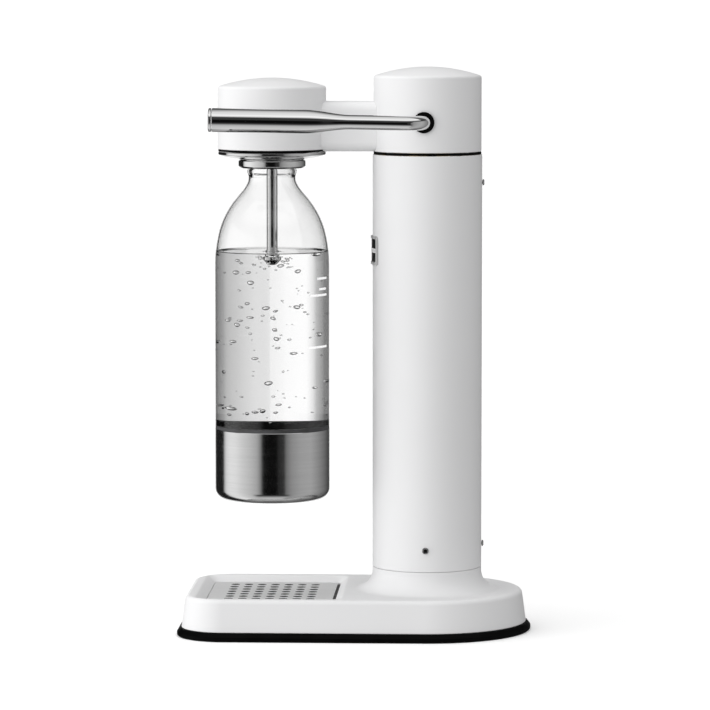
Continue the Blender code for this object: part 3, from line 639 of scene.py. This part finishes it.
def build_column():
    at = (0, COLUMN_Y, 0)
    low, high = heights("column_tube")
    wall = 0.002
    corners = sleeve(COLUMN_RADIUS - wall, COLUMN_RADIUS, low, high, 0.0003, 0.0005)
    column = turned("column", corners, WHITE, at, steps=ROUND)
    for name, facing in COLUMN_SCREWS.items():
        spot = (0, COLUMN_Y, middle(name).z)
        carve(column, rod(SCREW_HOLE, *WALL_CUT, spot, facing))
    column.visible_glossy = False  # keeps the steel cup's reflections plain
    place(column, "machine", "white_enamel", "column_tube")

    low, high = heights("column_gasket")
    corners = sleeve(0.0365, SEAL_RADIUS, low, high, 0.0001, 0.0002)
    turned_node("column_gasket", "column_seal", corners, RUBBER, "black_rubber", at, steps=ROUND)


def domed_profile(radius, bottom, shoulder, top):
    """Half-section of a domed cover: straight wall, soft edge, shallow spherical top."""
    wall = 0.0024
    edge = 0.0022
    reach = radius - edge * 0.45
    slope = degrees(2 * atan((top - shoulder) / reach))
    centre = (radius - edge, shoulder + edge * 0.42 - edge)
    outside = [(radius - 0.0004, bottom), (radius, bottom + 0.0004)]
    outside += arc(centre, edge, 0, 90 - slope, 10)
    side, last_z = outside[-1]
    rise = top - last_z
    sphere = (side**2 + rise**2) / (2 * rise)
    steps = 20
    for i in range(1, steps):
        x = side * (1 - i / steps)
        outside.append((x, top - sphere + sqrt(sphere**2 - x**2)))
    outside.append((0, top))
    inside = [(radius - wall, bottom), (radius - wall, shoulder - wall - 0.001)]
    inside += [(radius * 0.6, shoulder - wall + 0.003), (0, top - wall)]
    return outside[::-1] + inside


def build_cap_and_head():
    column_at = (0, COLUMN_Y, 0)
    head_at = (0, HEAD_Y, 0)
    low, high = heights("column_cap")
    cap_profile = domed_profile(CAP_RADIUS, low, high - 0.007, high)
    cap = finished("cap_cover", revolve(cap_profile, ROUND), WHITE, column_at)
    low, high = heights("head_shell")
    head_profile = domed_profile(HEAD_RADIUS, low, high - 0.0067, high)
    head = finished("head_cover", revolve(head_profile, ROUND), WHITE, head_at)

    arm_low, arm_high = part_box("arm_housing")
    radius = 0.007
    wall = 0.0024
    touch = 0.00005
    cover_heights = (0.34, 0.41)
    lever_hole = 0.0073

    def bar(name, inset, corner, start, end, look):
        low_z = arm_low.z + inset
        high_z = arm_high.z - inset
        outline = rounded_rectangle(arm_high.x - inset, low_z, high_z, corner, 12)
        return loft(name, [[(x, y, z) for x, z in outline] for y in (start, end)], look)

    arm = bar("arm_cover", 0, radius, HEAD_Y + 0.028, COLUMN_Y - 0.028, WHITE)
    carve(
        arm,
        bar("inside", wall, radius - 0.002, HEAD_Y, COLUMN_Y, None),
        rod(CAP_RADIUS + touch, *cover_heights, column_at, steps=ROUND),
        rod(HEAD_RADIUS + touch, *cover_heights, head_at, steps=ROUND),
    )
    window = wall + 0.0006
    carve(
        cap,
        bar("window", window, 0.004, COLUMN_Y - 0.045, COLUMN_Y - 0.02, None),
        rod(lever_hole, *WALL_CUT, PIVOT, "+X", MIDDLE),
    )
    carve(head, bar("window", window, 0.004, HEAD_Y + 0.02, HEAD_Y + 0.045, None))
    place(cap, "machine", "white_enamel", "column_cap")
    place(head, "machine", "white_enamel", "head_shell")
    place(arm, "machine", "white_enamel", "arm_housing")


def build_head_fittings():
    """What hangs under the head, and the nozzle and relief valve inside it."""
    at = (0, HEAD_Y, 0)
    low, high = heights("head_gasket")
    corners = sleeve(0.03, SEAL_RADIUS, low, high, 0.0001, 0.0004)
    turned_node("head_gasket", "head_seal", corners, RUBBER, "black_rubber", at, steps=ROUND)

    low, high = heights("nozzle_flange")
    corners = [
        (0.0205, low + 0.003, 0.0002), (0.0386, high, 0.0003), (0.0396, high - 0.0002, 0.0003),
        (0.0396, high - 0.002, 0.0004), (0.0374, low + 0.002, 0.004),
        (0.0315, low + 0.0006, 0.01), (0.0262, low, 0.004), (0.0205, low, 0.0002),
    ]
    slot = "polished_steel"
    turned_node("nozzle_flange", "nozzle_dish", corners, CHROME_RING, slot, at, steps=ROUND)

    low, high = heights("bottle_collar")
    corners = [
        (0.0174, low, 0.0004), (0.0232, low, 0.0006), (0.0247, low + 0.0014, 0.0008),
        (0.0247, high - 0.0014, 0.0008), (0.0234, high, 0.0006), (0.0174, high, 0.0004),
    ]
    turned_node("bottle_collar", "collar_ring", corners, CHROME_RING, slot, at, steps=ROUND)

    low, high = heights("nozzle_body")
    seat = heights("head_shell")[0]
    corners = [
        (0.0043, low, 0.0003), (0.0198, low, 0.0003), (0.0198, seat, 0), (0.0365, seat, 0.0003),
        (0.0365, seat + 0.003, 0.0005), (0.016, seat + 0.003, 0.0005), (0.016, high, 0.0008),
        (0.0043, high, 0.0003),
    ]
    turned_node("nozzle_body", "nozzle_core", corners, SATIN, "satin_aluminium", at)

    low, high = heights("nozzle_seal")
    corners = sleeve(0.008, 0.0165, low, high, 0.0003, 0.0003)
    turned_node("nozzle_seal", "mouth_seal", corners, RUBBER, "black_rubber", at)

    low, high = heights("carbonation_tube")
    corners = sleeve(0.0016, TUBE_RADIUS, low, high, 0.0002, 0.0004)
    turned_node("carbonation_tube", "dip_tube", corners, TUBE_STEEL, "brushed_steel", at)

    shoulder = low - GAP
    low, high = heights("nozzle_tip")
    corners = [
        (0, high, 0), (0.0013, high, 0.0002), (0.0013, shoulder, 0.0001),
        (0.0049, shoulder, 0.0005), (0.0049, shoulder - 0.0024, 0.0005),
        (0.0022, shoulder - 0.0058, 0.001), (0, low, 0),
    ]
    turned_node("nozzle_tip", "gas_tip", corners, TUBE_STEEL, "brushed_steel", at)

    vent_at = (middle("vent_valve").x, HEAD_Y, 0)
    low, high = heights("vent_valve")
    stem_end = 0.36
    disc_low = 0.3723
    corners = [
        (0, low, 0), (0.0045, low, 0.0003), (0.0045, low + 0.006, 0.0003),
        (0.0036, low + 0.0066, 0.0002), (0.0036, low + 0.008, 0.0002),
        (0.0045, low + 0.0086, 0.0003), (0.0045, high, 0.0004), (0.0022, high, 0.0002),
        (0.0022, stem_end, 0), (0, stem_end, 0),
    ]
    turned_node("vent_valve", "vent_seat", corners, BRASS, "brass", vent_at, steps=SMALL)
    low, high = heights("vent_poppet")
    corners = [
        (0, low, 0), (0.0019, low, 0.0002), (0.0019, disc_low, 0.0001), (0.0032, disc_low, 0.0004),
        (0.0032, high - 0.0004, 0.0004), (0, high, 0),
    ]
    stem = turned("vent_stem", corners, SCREW_STEEL, vent_at, steps=SMALL)
    place(stem, "poppet", "brushed_steel", "vent_poppet")


# ---- badge and screws


def curved_plate(name, inner, outer, low, high, half_angle, corner, look):
    """Closed plate that follows the column's curve, with rounded corners."""
    across = 28
    up = 10
    bevel = 0.0002

    def edge_inset(z):
        """How far the side edge is drawn in near a rounded corner."""
        near = min(z - low, high - z)
        if near >= corner:
            return 0
        return corner - sqrt(max(0, corner**2 - (corner - near) ** 2))

    rows = {low + (high - low) * i / up for i in range(up + 1)}
    for share in (0.3, 0.65):
        rows |= {low + corner * share, high - corner * share}
    rings = []
    for z in sorted(rows):
        ring = []
        for radius, inset, way in ((inner, 0, 1), (outer, bevel, -1)):
            reach = radians(half_angle) - (edge_inset(z) + inset) / outer
            height = min(max(z, low + inset), high - inset)
            for i in range(across + 1):
                angle = -pi / 2 + way * reach * (2 * i / across - 1)
                x = radius * cos(angle)
                ring.append((x, COLUMN_Y + radius * sin(angle), height))
        rings.append(ring)
    return loft(name, rings, look)


def build_badge():
    low, high = heights("badge_frame")
    outside = COLUMN_RADIUS + GAP
    edge = 0.0018
    frame_piece = curved_plate("badge_rim", outside, 0.0415, low, high, 28.5, 0.0022, TRIM)
    opening = (low + edge, high - edge)
    window = curved_plate("window", 0.0385, 0.0435, *opening, 25.8, 0.0012, None)
    carve(frame_piece, window)
    place(frame_piece, "machine", "satin_aluminium", "badge_frame")
    low, high = heights("badge_plate")
    plate = curved_plate("badge_panel", outside, 0.0409, low, high, 25.3, 0.0009, BLACK)
    place(plate, "machine", "black_plastic", "badge_plate")
    mid = (low + high) / 2
    half = 0.0016
    bar = curved_plate("badge_bar", 0.0409, 0.0413, mid - half, mid + half, 24.0, 0.0006, BAR)
    place(bar, "machine", "satin_aluminium")


def build_screws():
    """Button-head screws with a hexagon socket."""
    head_radius = 0.0024
    shank = 0.0015
    height = 0.0013
    for name, facing in (COLUMN_SCREWS | BASE_SCREWS).items():
        low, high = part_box(name)
        spot = (low + high) / 2
        direction = ALONG[facing] @ Vector((0, 0, 1))
        back, front = sorted((low.dot(direction), high.dot(direction)))
        at = spot + direction * (front - height - spot.dot(direction))
        end = back - (front - height)
        corners = [
            (0, height, 0), (0.0017, height, 0.0006), (head_radius, 0.0004, 0.0004),
            (head_radius, 0, 0.0002), (shank, 0, 0), (shank, end + 0.0005, 0.0002),
            (shank - 0.0004, end, 0), (0, end, 0),
        ]
        piece = turned(name + "_fine", corners, SCREW_STEEL, at, facing, steps=SMALL)
        carve(piece, rod(0.00125, height - 0.0008, height + 0.001, at, facing, steps=6))
        place(piece, "machine", "steel_screws", name)


# ---- lever


def build_lever():
    rod_radius = 0.00525
    end_low, end_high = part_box("lever_end_cap")
    cap_length = 0.0022
    tip_y = end_low.y
    end = tip_y + cap_length + GAP
    rise = middle("lever_end_cap").z - PIVOT.z
    shaft_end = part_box("lever_handle")[0].x
    bend = 0.0138
    grip_length = 0.066
    taper_length = 0.034
    run = PIVOT.y - end
    edge = 0.0005

    shaft = (shaft_end, shaft_end + edge, -0.005, 0.01, 0.025, 0.038)
    route = [(x, PIVOT.y) for x in shaft]
    route += arc((LEVER_X - bend, PIVOT.y - bend), bend, 90, 0, 14)
    grip_back = end + grip_length
    taper_back = grip_back + taper_length
    bend_end = PIVOT.y - bend
    route += [(LEVER_X, bend_end + (taper_back - bend_end) * i / 4) for i in (1, 2, 3)]
    radii = [rod_radius - edge] + [rod_radius] * (len(route) - 1)
    steps = 28
    for i in range(steps + 1):
        share = i / steps
        blend = share * share * (3 - 2 * share)
        route.append((LEVER_X, taper_back + (grip_back - taper_back) * share))
        radii.append(rod_radius + (GRIP_RADIUS - rod_radius) * blend)
    for share in (0.25, 0.5, 0.75):
        route.append((LEVER_X, grip_back + (end - grip_back) * share))
        radii.append(GRIP_RADIUS)
    for x, y in arc((GRIP_RADIUS - edge, end + edge), edge, 0, -90, 5):
        route.append((LEVER_X, y))
        radii.append(x)
    points = []
    for x, y in route:
        along = max(0, PIVOT.y - y)
        lift = rise * along / run
        points.append((x, y, PIVOT.z + lift * min(1, along / (2 * bend))))
    handle = tube("lever_bar", points, radii, CHROME, sides=72)
    handle.visible_diffuse = False  # the polished bar doesn't dim the head behind it
    place(handle, "lever", "polished_steel", "lever_handle")

    corners = [
        (0, 0, 0), (GRIP_RADIUS, 0, 0.0005), (GRIP_RADIUS, cap_length, 0.0007), (0, cap_length, 0),
    ]
    disc = turned("lever_tip", corners, CHROME, facing="-Y", steps=72)
    tilt = atan2(rise, run)
    place_at = Vector((LEVER_X, tip_y + cap_length, middle("lever_end_cap").z))
    disc.data.transform(Matrix.Translation(place_at) @ Matrix.Rotation(-tilt, 4, "X"))
    place(disc, "lever", "polished_steel", "lever_end_cap")

    bushes = (
        (
            ("lever_bush_outer", "lever_grommet"),
            (RUBBER, "black_rubber"),
            (0.034, CAP_RADIUS + GAP, 0.0416), (0.007, 0.0077), (0, 0.0002, 0.0006, 0.0004),
        ),
        (
            ("lever_bush_inner", "lever_bearing"),
            (BLACK, "black_plastic"),
            (-0.0178, -0.0142, -0.013), (0.0068, 0.0088), (0, 0.0003, 0.0003, 0.0002),
        ),
    )
    for names, finish, (start, step, end), (body, flange), edges in bushes:
        corners = [
            (SHAFT_HOLE, start, 0.0002), (body, start, 0.0003), (body, step, edges[0]),
            (flange, step, edges[1]), (flange, end, edges[2]), (SHAFT_HOLE, end, edges[3]),
        ]
        turned_node(*names, corners, *finish, PIVOT, facing="+X")


# ---- bottle


BOTTLE_WALL = 0.0012
WATER_LEVEL = 0.2784


def bottle_profile():
    """Outer and inner outline of the bottle, as (radius, height) points."""
    body = radius_of("bottle_body")
    high = heights("bottle_body")[1]
    liner_top = heights("bottle_liner")[1]
    wall = BOTTLE_WALL
    shoulder = [
        (body, 0.268), (0.04185, 0.274), (0.0415, 0.279), (0.0409, 0.284), (0.04, 0.289),
        (0.0388, 0.294), (0.0372, 0.299), (0.0354, 0.3034), (0.0333, 0.3075), (0.031, 0.3113),
        (0.0286, 0.3148), (0.0262, 0.3178), (0.0238, 0.3207), (0.0218, 0.323), (0.0201, 0.3253),
        (0.0188, 0.3274), (0.0178, 0.3295), (0.0173, 0.3312), (0.0171, 0.333),
    ]
    bead = [
        (0.0172, 0.3339), (0.0175, 0.3348), (0.0179, 0.3357), (0.0182, 0.3366), (0.0183, 0.3374),
        (0.0181, 0.3383), (0.0175, 0.3391), (0.0168, 0.3396), (0.0166, 0.3402),
    ]
    foot = 0.0396
    heel = 0.007
    outside = [(0, 0.103), (0.012, 0.1016), (0.02, 0.1), (0.027, 0.0996), (0.033, 0.0997)]
    outside += arc((foot - heel, 0.1068), heel, 285, 360, 8)
    outside += [(foot, 0.12), (foot, liner_top - 0.0001), (foot + 0.0003, liner_top + 0.0002)]
    outside += [(body - 0.0003, liner_top + 0.0003), (body, liner_top + 0.0006)]
    outside += [(body, z) for z in (0.16, 0.2, 0.24)] + shoulder + bead
    outside += [(0.0166, high - 0.0004), (0.0162, high)]
    inside = [(0.0154, high), (0.015, high - 0.0004), (0.015, 0.34), (0.0151, 0.335)]
    inside += [(radius - wall, z - wall * 0.25) for radius, z in shoulder[::-1]]
    inside += [(body - wall, z) for z in (0.24, 0.2, 0.16, liner_top + 0.001)]
    inside += [(foot - wall, liner_top - 0.0008), (foot - wall, 0.12)]
    inside += arc((foot - heel, 0.1076), heel - wall, 360, 285, 8)
    inside += [(0.027, 0.1008), (0.02, 0.1012), (0.012, 0.1028), (0, 0.1042)]
    return outside, inside


def build_bottle():
    at = (0, HEAD_Y, 0)
    outside, inside = bottle_profile()
    bottle = finished("bottle_shell", revolve(outside + inside, ROUND), PLASTIC, at)
    place(bottle, "bottle", "clear_plastic", "bottle_body")

    low, high = heights("bottle_cup")
    radius = radius_of("bottle_cup")
    edge = 0.008
    skin_inside = radius - 0.001
    x = radius - edge
    z = low + edge
    outer = [(0, low), (x - 0.0015, low)] + arc((x, z), edge, 270, 360, 16)
    outer += [(radius, z + 0.001), (radius, high - 0.0002)]
    outer += [(radius - 0.00015, high), (radius - 0.0004, high - 0.0002)]
    inner = [(skin_inside, high - 0.0008), (skin_inside, z + 0.001)]
    inner += arc((x, z), skin_inside - x, 360, 270, 12) + [(0, low + 0.001)]
    cup = finished("bottle_base", revolve(outer + inner, ROUND), BRUSHED, at)
    place(cup, "bottle", "brushed_steel", "bottle_cup")

    out = skin_inside - x - GAP
    thin = out - 0.0009
    lip = radius - 0.0003
    top = heights("bottle_liner")[1]
    lap = top + 0.0008  # meets the step of the bottle, with no gap
    liner = [(0, z - out)] + arc((x, z), out, 270, 360, 12)
    liner += [(x + out, high - 0.0008), (lip, high + 0.0001), (lip, lap)]
    liner += [(0.0395, lap), (0.0395, top), (x + thin, top)]
    liner += arc((x, z), thin, 360, 270, 12) + [(0, z - thin)]
    liner = finished("cup_liner", revolve(liner, ROUND), LINER, at)
    place(liner, "bottle", "black_plastic", "bottle_liner")


def build_water():
    """Water that fills the bottle to its mark, climbs its wall a little and bites into it."""
    bite = 0.00008
    climb = 0.0009
    profile = []
    for radius, z in bottle_profile()[1][::-1]:
        if z < WATER_LEVEL - 0.001:
            grow = bite if radius > 0.001 else 0
            profile.append((radius + grow, z - (bite if z < 0.105 else 0)))
    edge = profile[-1][0] - 0.0001
    profile.append((edge, WATER_LEVEL + climb))
    steps = 10
    for i in range(1, steps + 1):
        fall = climb * (exp(-3.2 * i / steps) - 0.04)
        profile.append((edge - 0.0042 * i / steps, WATER_LEVEL + fall))
    profile += [(0.03, WATER_LEVEL), (0.012, WATER_LEVEL)]
    near = 0.0085
    for i in range(5):
        share = i / 4
        rise = 0.0011 * share**2
        profile.append((near - (near - TUBE_RADIUS) * share, WATER_LEVEL + rise))
    end = heights("carbonation_tube")[0]
    profile += [(TUBE_RADIUS + 0.00002, end + 0.0003), (0.00495, end - 0.0002)]
    profile += [(0.00495, end - 0.0028), (0.00225, end - 0.0062)]
    profile += [(0, heights("nozzle_tip")[0] - 0.0001)]
    water = finished("bottle_water", revolve(profile, ROUND), WATER, (0, HEAD_Y, 0))
    place(water, "bottle", "clear_plastic")


def bubble(at, size, squash, tilt):
    """A sphere pressed flatter on its rising side."""
    mesh = bmesh.new()
    bmesh.ops.create_icosphere(mesh, subdivisions=3, radius=size)
    for vertex in mesh.verts:
        vertex.co.z *= squash * (1 - 0.12 * vertex.co.z / size)
    mesh.transform(Matrix.Translation(at) @ Matrix.Rotation(tilt, 4, "X"))
    return mesh


def build_bubbles():
    """Gas bubbles through the water, more and larger round the gas tip."""
    draw = random.Random(11)
    cup_top = heights("bottle_cup")[1]
    floor = cup_top - 0.03
    top = WATER_LEVEL - 0.002
    meshes = []
    places = []

    def put(radius, turn, z, size):
        spot = Vector((radius * cos(turn), HEAD_Y + radius * sin(turn), z))
        if any((spot - other).length <= size + near + 0.0004 for other, near in places):
            return
        places.append((spot, size))
        squash = draw.uniform(0.5, 0.78)
        meshes.append(bubble(spot, size, squash, draw.uniform(-0.35, 0.35)))

    in_cup = 0.035
    in_body = radius_of("bottle_body") - BOTTLE_WALL - 0.0075
    for count, small, spread, power in ((60, 0.0011, 0.0012, 1.3), (80, 0.0004, 0.0006, 1.0)):
        for _ in range(count):
            height = floor + (top - floor) * draw.random() ** 0.8
            size = small + spread * draw.random() ** power
            limit = in_cup if height < cup_top + 0.006 else in_body
            put(limit * sqrt(draw.random()), draw.uniform(0, tau), height, size)
    for _ in range(34):
        size = 0.0006 + 0.0013 * draw.random() ** 2
        radius = 0.0066 + 0.006 * draw.random() ** 1.6
        put(radius, draw.uniform(0, tau), top - 0.01 * draw.random(), size)
    place(merged("water_bubbles", meshes, AIR), "bottle", "clear_plastic")


def build_marks():
    """Generic level marks printed on the bottle's lever side, in ink with a painted glow."""
    inner = radius_of("bottle_body") + 0.00008
    outer = inner + 0.00006
    half = 0.0008
    steps = 16
    meshes = []
    for z, start, width in ((0.26, 55, 19), (0.2522, 58, 14), (0.2478, 45, 29), (0.2099, 43, 31)):
        rings = []
        for i in range(steps + 1):
            angle = radians(start + width * i / steps)
            corners = ((inner, z - half), (outer, z - half), (outer, z + half), (inner, z + half))
            rings.append(
                [(r * cos(angle), HEAD_Y + r * sin(angle), h) for r, h in corners]
            )
        meshes.append(skin(rings))
    place(merged("level_marks", meshes, GLOWING_INK), "bottle", "clear_plastic")


# ---- gas side


def build_gas_side():
    at = (0, COLUMN_Y, 0)
    low, high = heights("gas_cylinder")
    radius = radius_of("gas_cylinder")
    wall = 0.003
    corners = [
        (0, low + 0.003, 0), (0.014, low + 0.003, 0.003), (0.022, low, 0.003),
        (radius, low, 0.006), (radius, 0.2985, 0.016), (0.013, high - 0.005, 0.004),
        (0.013, high, 0.0005), (0.0096, high, 0.0003), (0.0096, 0.297, 0.002),
        (radius - wall, 0.291, 0.012), (radius - wall, low + 0.006, 0.004),
        (0.022, low + 0.003 + wall, 0.003), (0, low + 0.006, 0),
    ]
    cylinder = turned("gas_bottle", corners, SATIN, at, steps=96, fillet=8)
    cylinder.visible_glossy = False
    place(cylinder, "cylinder", "satin_aluminium", "gas_cylinder")


def dress_inner_nodes():
    """Sealed inner pieces keep their solids and get fine materials."""
    for look, names in (
        (SATIN, ("column_spigot", "upper_bracket", "shaft_bracket")),
        (BRASS, ("valve_block", "burst_plug", "gas_tube", "tube_nut_block", "tube_nut_head")),
        (BRASS, ("cylinder_valve",)),
        (SCREW_STEEL, ("cylinder_pin", "valve_plunger", "lever_cam")),
        (SPRING_STEEL, ("plunger_spring", "lever_return_spring", "shaft_clip")),
        (RUBBER, ("cylinder_seal",)),
    ):
        for name in names:
            node = frame["nodes"][name]
            node.data.materials.clear()
            node.data.materials.append(look)
            node.visible_glossy = False


# ---- floor, light, camera


CAMERA_AZIMUTH = 92.578
CAMERA_ELEVATION = 5.12
CAMERA_DISTANCE = 3.14
CAMERA_TARGET = Vector((0, -0.0006, 0.2022))
CAMERA_LENS = 216.5


def camera_back():
    azimuth = radians(CAMERA_AZIMUTH)
    elevation = radians(CAMERA_ELEVATION)
    across = cos(elevation)
    return Vector((sin(azimuth) * across, -cos(azimuth) * across, sin(elevation)))


def build_camera():
    data = bpy.data.cameras.new("camera")
    data.lens = CAMERA_LENS
    camera = added("camera", data)
    back = camera_back()
    camera.location = CAMERA_TARGET + back * CAMERA_DISTANCE
    camera.rotation_mode = "QUATERNION"
    camera.rotation_quaternion = (-back).to_track_quat("-Z", "Y")
    bpy.context.scene.camera = camera


def build_floor():
    mesh = bmesh.new()
    bmesh.ops.create_circle(mesh, cap_ends=True, segments=96, radius=60)
    shader = Shader("floor_paper").set(Roughness=0.9, Specular_IOR_Level=0.1)
    shader.set(Emission_Color=(1, 1, 1, 1), Emission_Strength=0.16)
    shader.colours(shader.noise(40, 3), (0.93, 0.93, 0.93), (0.94, 0.94, 0.94))
    floor = finished("floor", mesh, shader.look)
    floor.visible_glossy = False
    floor.visible_transmission = False
    floor.visible_diffuse = False
    floor.visible_shadow = False


def build_world():
    """Studio surround by direction: what diffuse, mirror and clear surfaces see."""
    world = bpy.data.worlds.new("studio")
    bpy.context.scene.world = world
    world.use_nodes = True
    nodes = world.node_tree.nodes
    nodes.clear()

    def add(kind, *values):
        """New node, with a value or a link from a socket for each input in turn."""
        made = nodes.new("ShaderNode" + kind)
        for socket, value in zip(made.inputs, values):
            if isinstance(value, bpy.types.NodeSocket):
                world.node_tree.links.new(value, socket)
            elif value is not None:
                socket.default_value = value
        return made

    def maths(operation, *values):
        made = add("Math", *values)
        made.operation = operation
        return made.outputs[0]

    def mix(factor, low, high):
        return add("Mix", factor, None, low, high).outputs[0]

    x, y, z = add("SeparateXYZ", add("TexCoord").outputs["Generated"]).outputs
    azimuth = radians(CAMERA_AZIMUTH)
    towards = (sin(azimuth), -cos(azimuth))
    right = (-towards[1], towards[0])
    front = maths("ADD", maths("MULTIPLY", x, towards[0]), maths("MULTIPLY", y, towards[1]))
    side = maths("ADD", maths("MULTIPLY", x, right[0]), maths("MULTIPLY", y, right[1]))
    turn = maths("ARCTAN2", side, front)
    around = maths("ADD", maths("MULTIPLY", turn, 1 / tau), 0.5)
    height = maths("ADD", maths("MULTIPLY", maths("ARCSINE", z), 1 / pi), 0.5)

    def ramp(source, stops):
        """Grey ramp from (position, value) stops."""
        made = add("ValToRGB", source)
        elements = made.color_ramp.elements
        elements.remove(elements[-1])
        for i, (position, value) in enumerate(stops):
            element = elements[0] if i == 0 else elements.new(position)
            element.position = position
            element.color = (value, value, value, 1)
        return made.outputs["Color"]

    def by_turn(*stops):
        """Ramp round the object from (degrees from the camera's side, value) stops."""
        return ramp(around, [(0.5 + angle / 360, value) for angle, value in stops])

    def by_height(*stops):
        """Ramp from straight down to straight up."""
        return ramp(height, [(0.5 + angle / 180, value) for angle, value in stops])

    mirror_sides = by_turn(
        (-180, 0.95), (-166, 0.9), (-158, 0.02), (-116, 0.012), (-111, 0.6), (-104, 0.92), (-92, 1),
        (-78, 0.97), (-62, 0.8), (-45, 0.66), (-30, 0.5), (-23, 0.28), (-19, 0.004), (10, 0.004),
        (13, 0.03), (25, 0.035), (28, 0.2), (40, 0.34), (60, 0.44), (84, 0.47), (104, 0.34),
        (124, 0.22), (140, 0.13), (161, 0.02), (168, 0.8), (180, 0.95),
    )
    mirror_near = by_height(
        (-90, 0.81), (-75, 0.72), (-62, 0.64), (-52, 0.61), (-41, 0.43), (-31, 0.1), (-22, 0.02),
        (0, 0.02), (8, 0.045), (31, 0.05), (36, 0.45), (41, 0.85), (50, 1.15), (62, 0.95),
        (75, 0.92), (90, 0.82),
    )
    mirror_far = by_height(
        (-90, 0.81), (-79, 0.61), (-63, 0.28), (-45, 0.11), (-36, 0.22), (-28, 1.1), (-22, 0.9),
        (-16, 0.45), (0, 0.04), (26, 0.05), (57, 0.16), (77, 0.66), (90, 0.82),
    )
    mirror_rise = mix(maths("GREATER_THAN", front, 0), mirror_far, mirror_near)
    rise_share = by_height((-90, 1), (-22, 1), (-14, 0), (6, 0), (10, 1), (90, 1))
    side_share = by_height((-90, 1), (-78, 1), (-62, 0), (20, 0), (25, 1), (90, 1))
    ahead = by_turn(
        (-180, 1), (-171, 1), (-162, 0), (-42, 0), (-30, 1), (30, 1), (42, 0), (162, 0), (171, 1),
        (180, 1),
    )
    rise_share = mix(ahead, side_share, rise_share)
    mirror = mix(rise_share, mirror_sides, mirror_rise)

    clear_sides = by_turn(
        (-180, 1), (-178, 1.02), (-172, 1.1), (-159, 1.08), (-153, 0.8), (-149, 0.5), (-143, 0.36),
        (-134, 0.18), (-117, 0.2), (-102, 0.8), (-60, 0.9), (0, 0.8), (60, 0.45), (105, 0.2),
        (125, 0.26), (138, 0.34), (151, 0.48), (160, 0.58), (166, 0.68), (171, 0.78), (177, 0.86),
        (179, 0.88), (180, 0.93),
    )
    clear_share = by_height((-90, 1), (-45, 0.8), (-25, 0), (25, 0), (45, 0.8), (90, 1))
    seen_through = mix(clear_share, clear_sides, 0.75)

    soft_sides = by_turn(
        (-180, 0.66), (-140, 0.6), (-110, 0.95), (-80, 2.5), (-50, 1.25), (-25, 1.08), (0, 1.06),
        (25, 0.84), (50, 0.1), (80, 0.3), (110, 1.1), (140, 0.2), (180, 0.66),
    )
    soft_share = by_height((-30, 1), (-5, 0), (30, 0), (62, 1), (90, 1))
    soft_rise = by_height((-90, 0.62), (0, 0.62), (5, 1.14), (90, 1.14))
    lean = maths("ADD", maths("MULTIPLY", side, -0.5), 1.0)
    soft = mix(soft_share, soft_sides, maths("MULTIPLY", soft_rise, lean))

    ray = add("LightPath").outputs
    mirrored = maths("GREATER_THAN", ray["Glossy Depth"], 0.5)
    scattered = maths("GREATER_THAN", ray["Diffuse Depth"], 0.5)
    seen = mix(ray["Is Camera Ray"], seen_through, 1.1)
    seen = mix(mirrored, seen, mirror)
    seen = mix(scattered, seen, soft)
    world.cycles.sampling_method = "NONE"
    add("OutputWorld", add("Background", seen).outputs[0])


def build_lights():
    """Two softboxes that shape the white parts: a key from the left, a weak one on top."""
    target = Vector((0, 0, 0.2))
    back = camera_back()
    right = Vector((-back.y, back.x, 0)).normalized()
    for name, spot, size, power in (
        ("key_softbox", target - right * 1.5 + back * 0.9 + Vector((0, 0, 0.9)), 1.0, 1.5),
        ("top_softbox", target + Vector((0.2, -0.1, 1.8)), 1.2, 1.5),
    ):
        data = bpy.data.lights.new(name, "AREA")
        data.shape = "SQUARE"
        data.size = size
        data.energy = power
        light = added(name, data)
        light.location = spot
        light.rotation_mode = "QUATERNION"
        light.rotation_quaternion = (spot - target).to_track_quat("Z", "Y")
        light.visible_camera = False
        light.visible_glossy = False


def main():
    scene = bpy.context.scene
    scene.view_settings.view_transform = "Standard"
    for build in (
        build_camera, build_floor, build_world, build_lights, build_foot, build_base_shell,
        build_base_plate, build_tray, build_grid, build_column, build_cap_and_head,
        build_head_fittings, build_badge, build_screws, build_lever, build_bottle, build_water,
        build_bubbles, build_marks, build_gas_side, dress_inner_nodes,
    ):
        build()


main()
